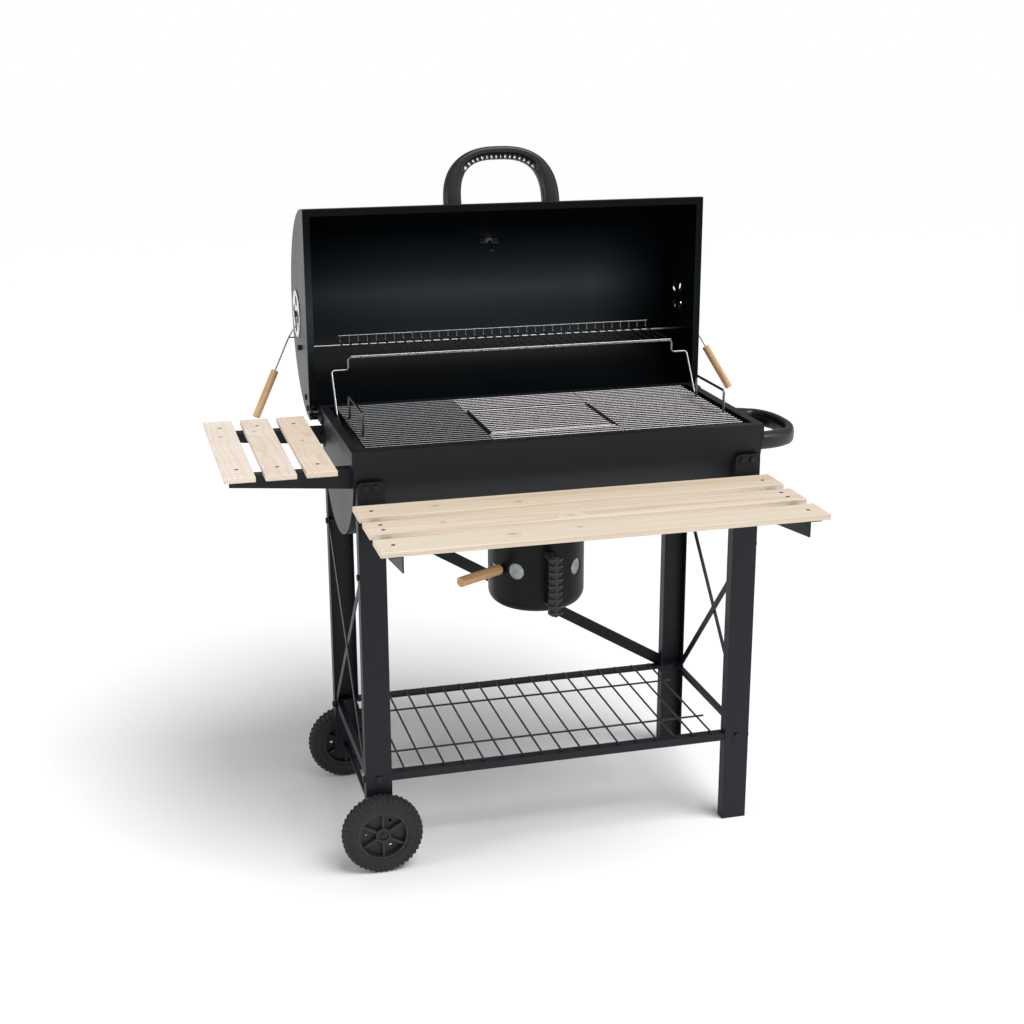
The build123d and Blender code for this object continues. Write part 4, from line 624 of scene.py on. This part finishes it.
def tyre(name, cad, body):
    """Solid tyre: two staggered rows of tread blocks down the shoulders, plain ringed sidewalls."""
    lo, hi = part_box(cad)
    centre = (lo + hi) / 2
    half_w, outer = (hi.y - lo.y) / 2, (hi.z - lo.z) / 2
    stations = [(r, y, w, 0) for r, y, w in TYRE_SECTION]
    stations += [(r, -y, w, 1) for r, y, w in reversed(TYRE_SECTION)]
    steps = len(LUG_PROFILE)
    cols = LUGS * steps
    verts = []
    for r, y, w, row in stations:
        away_r, away_y = (r - SHOULDER_R), y * 0.95
        if abs(y) < CROWN:
            away_r, away_y = 1.0, 0.0
        size = math.hypot(away_r, away_y) or 1.0
        for j in range(cols):
            k = (j + row * steps // 2) % steps
            rise = LUG_RISE * LUG_PROFILE[k] if w else 0.0
            a = 2 * math.pi * j / cols
            rr = min((r + rise * away_r / size) / LUG_TOP_R * outer, outer) if w else r / 1000
            yy = max(-half_w, min(half_w, (y + rise * away_y / size) / 1000))
            verts.append(centre + Vector((rr * math.cos(a), yy, rr * math.sin(a))))
    faces = grid_faces(len(stations), cols, wrap_rows=True)
    obj = piece(name, verts, faces, TYRE, body, crease=math.radians(28))
    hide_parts(cad)


tyre("tread_front", "tyre_front", "wheel_front")
tyre("tread_rear", "tyre_rear", "wheel_rear")

# ---------------------------------------------------------------- thermometer face
DIAL_LEAN = math.radians(55.0)     # of the dial's normal, from upright towards +Y
MARKS, MARK_STEP, FIRST_MARK = 31, 10, 240
MARK_END_R = 0.0235
ZONE_ENDS = ((240, 150), (150, 60), (60, -60))
ZONE_ROWS = 25
ZONE_CORNERS = ((0.0165, 0.00002), (0.0185, 0.00002), (0.0185, 0.0002), (0.0165, 0.0002))
co = [v.co.copy() for v in nodes["thermometer_dial"].data.vertices]
normal = Vector((0, math.sin(DIAL_LEAN), math.cos(DIAL_LEAN)))
face = max(p.dot(normal) for p in co)
dial_low, dial_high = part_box("thermometer_dial")
centre = (dial_low + dial_high) / 2
centre += normal * (face - centre.dot(normal))
up = normal.cross(X).normalized()


def on_dial(degrees):
    """Unit vector from the dial's centre, degrees up from +X."""
    turn = math.radians(degrees)
    return X * math.cos(turn) + up * math.sin(turn)


marks = Build()
for i in range(MARKS):
    way = on_dial(FIRST_MARK - i * MARK_STEP)
    half_len, half_wide = (0.0022, 0.00035) if i % 5 == 0 else (0.0012, 0.0002)
    marks.brick(centre + way * (MARK_END_R - half_len) + normal * 0.00012, (way, normal.cross(way), normal),
                (half_len, half_wide, 0.00012))
obj = piece("dial_marks", marks.verts, marks.faces, INK, "lid", smooth=False)
for i, (start, end) in enumerate(ZONE_ENDS):
    ways = [on_dial(start + (end - start) * k / (ZONE_ROWS - 1)) for k in range(ZONE_ROWS)]
    arc = [centre + way * r + normal * h for way in ways for r, h in ZONE_CORNERS]
    faces = grid_faces(ZONE_ROWS, 4) + [(3, 2, 1, 0), tuple(range(4 * (ZONE_ROWS - 1), 4 * ZONE_ROWS))]
    obj = piece(f"dial_zone_{i}", arc, faces, ZONES[i], "lid", smooth=False)


# ---------------------------------------------------------------- stage, light and camera
FLOOR_HALF = 30
corners = [(x * FLOOR_HALF, y * FLOOR_HALF, 0) for x, y in ((-1, -1), (1, -1), (1, 1), (-1, 1))]
floor_mesh = bpy.data.meshes.new("floor")
floor_mesh.from_pydata(corners, [], [(0, 1, 2, 3)])
floor_mesh.materials.append(plain("floor", (0.93, 0.93, 0.93), 0.9))
floor = bpy.data.objects.new("floor", floor_mesh)
bpy.context.scene.collection.objects.link(floor)

world = bpy.data.worlds.new("studio")
bpy.context.scene.world = world
world.use_nodes = True
tree = world.node_tree
tree.nodes.clear()
done = tree.nodes.new("ShaderNodeOutputWorld")


def background(colour, strength):
    made = tree.nodes.new("ShaderNodeBackground")
    made.inputs["Color"].default_value = (*colour, 1.0)
    made.inputs["Strength"].default_value = strength
    return made.outputs[0]


# the camera sees white where nothing stands, while the room lights the grill more softly
sky = background((1.0, 1.0, 1.0), 1.0)
room = background((0.96, 0.98, 1.0), 0.34)
path = tree.nodes.new("ShaderNodeLightPath")
either = tree.nodes.new("ShaderNodeMixShader")
for source, socket in ((path.outputs["Is Camera Ray"], either.inputs[0]), (room, either.inputs[1]),
                       (sky, either.inputs[2]), (either.outputs[0], done.inputs[0])):
    tree.links.new(source, socket)


def lamp(name, kind, place, aim, energy, size):
    """Sun, whose size is its angle in degrees, or square area lamp, whose size is in metres."""
    light = bpy.data.lights.new(name, kind)
    light.energy = energy
    if kind == "AREA":
        light.shape = "SQUARE"
        light.size = size
    else:
        light.angle = math.radians(size)
    obj = bpy.data.objects.new(name, light)
    bpy.context.scene.collection.objects.link(obj)
    obj.location = place
    obj.rotation_euler = (Vector(aim) - Vector(place)).to_track_quat("-Z", "Y").to_euler()


lamp("high_front", "SUN", (1.3, -1.7, 4.0), (0, 0, 0), 2.75, 40)
lamp("left_box", "AREA", (-3.0, -0.6, 1.5), (0, 0, 0.6), 26, 1.5)
lamp("right_box", "AREA", (3.2, -1.6, 1.9), (0, 0, 0.7), 16, 1.4)

CAMERA_AT = (-0.79153, -2.91145, 1.5569)
SENSOR, LENS = 36.0, 56.94      # mm
camera_data = bpy.data.cameras.new("camera")
camera_data.sensor_width = SENSOR
camera_data.lens = LENS
camera = bpy.data.objects.new("camera", camera_data)
bpy.context.scene.collection.objects.link(camera)
yaw, pitch, roll = math.radians(15.08), math.radians(16.96), math.radians(-0.133)
ahead = Vector((math.sin(yaw) * math.cos(pitch), math.cos(yaw) * math.cos(pitch), -math.sin(pitch)))
right = Vector((math.cos(yaw), -math.sin(yaw), 0))
upward = right.cross(ahead)
right, upward = (right * math.cos(roll) + upward * math.sin(roll),
                 upward * math.cos(roll) - right * math.sin(roll))
turned = Matrix((right, upward, -ahead)).transposed().to_4x4()
camera.matrix_world = Matrix.Translation(CAMERA_AT) @ turned
bpy.context.scene.camera = camera
bpy.context.scene.view_settings.view_transform = "Standard"

bpy.context.view_layer.update()
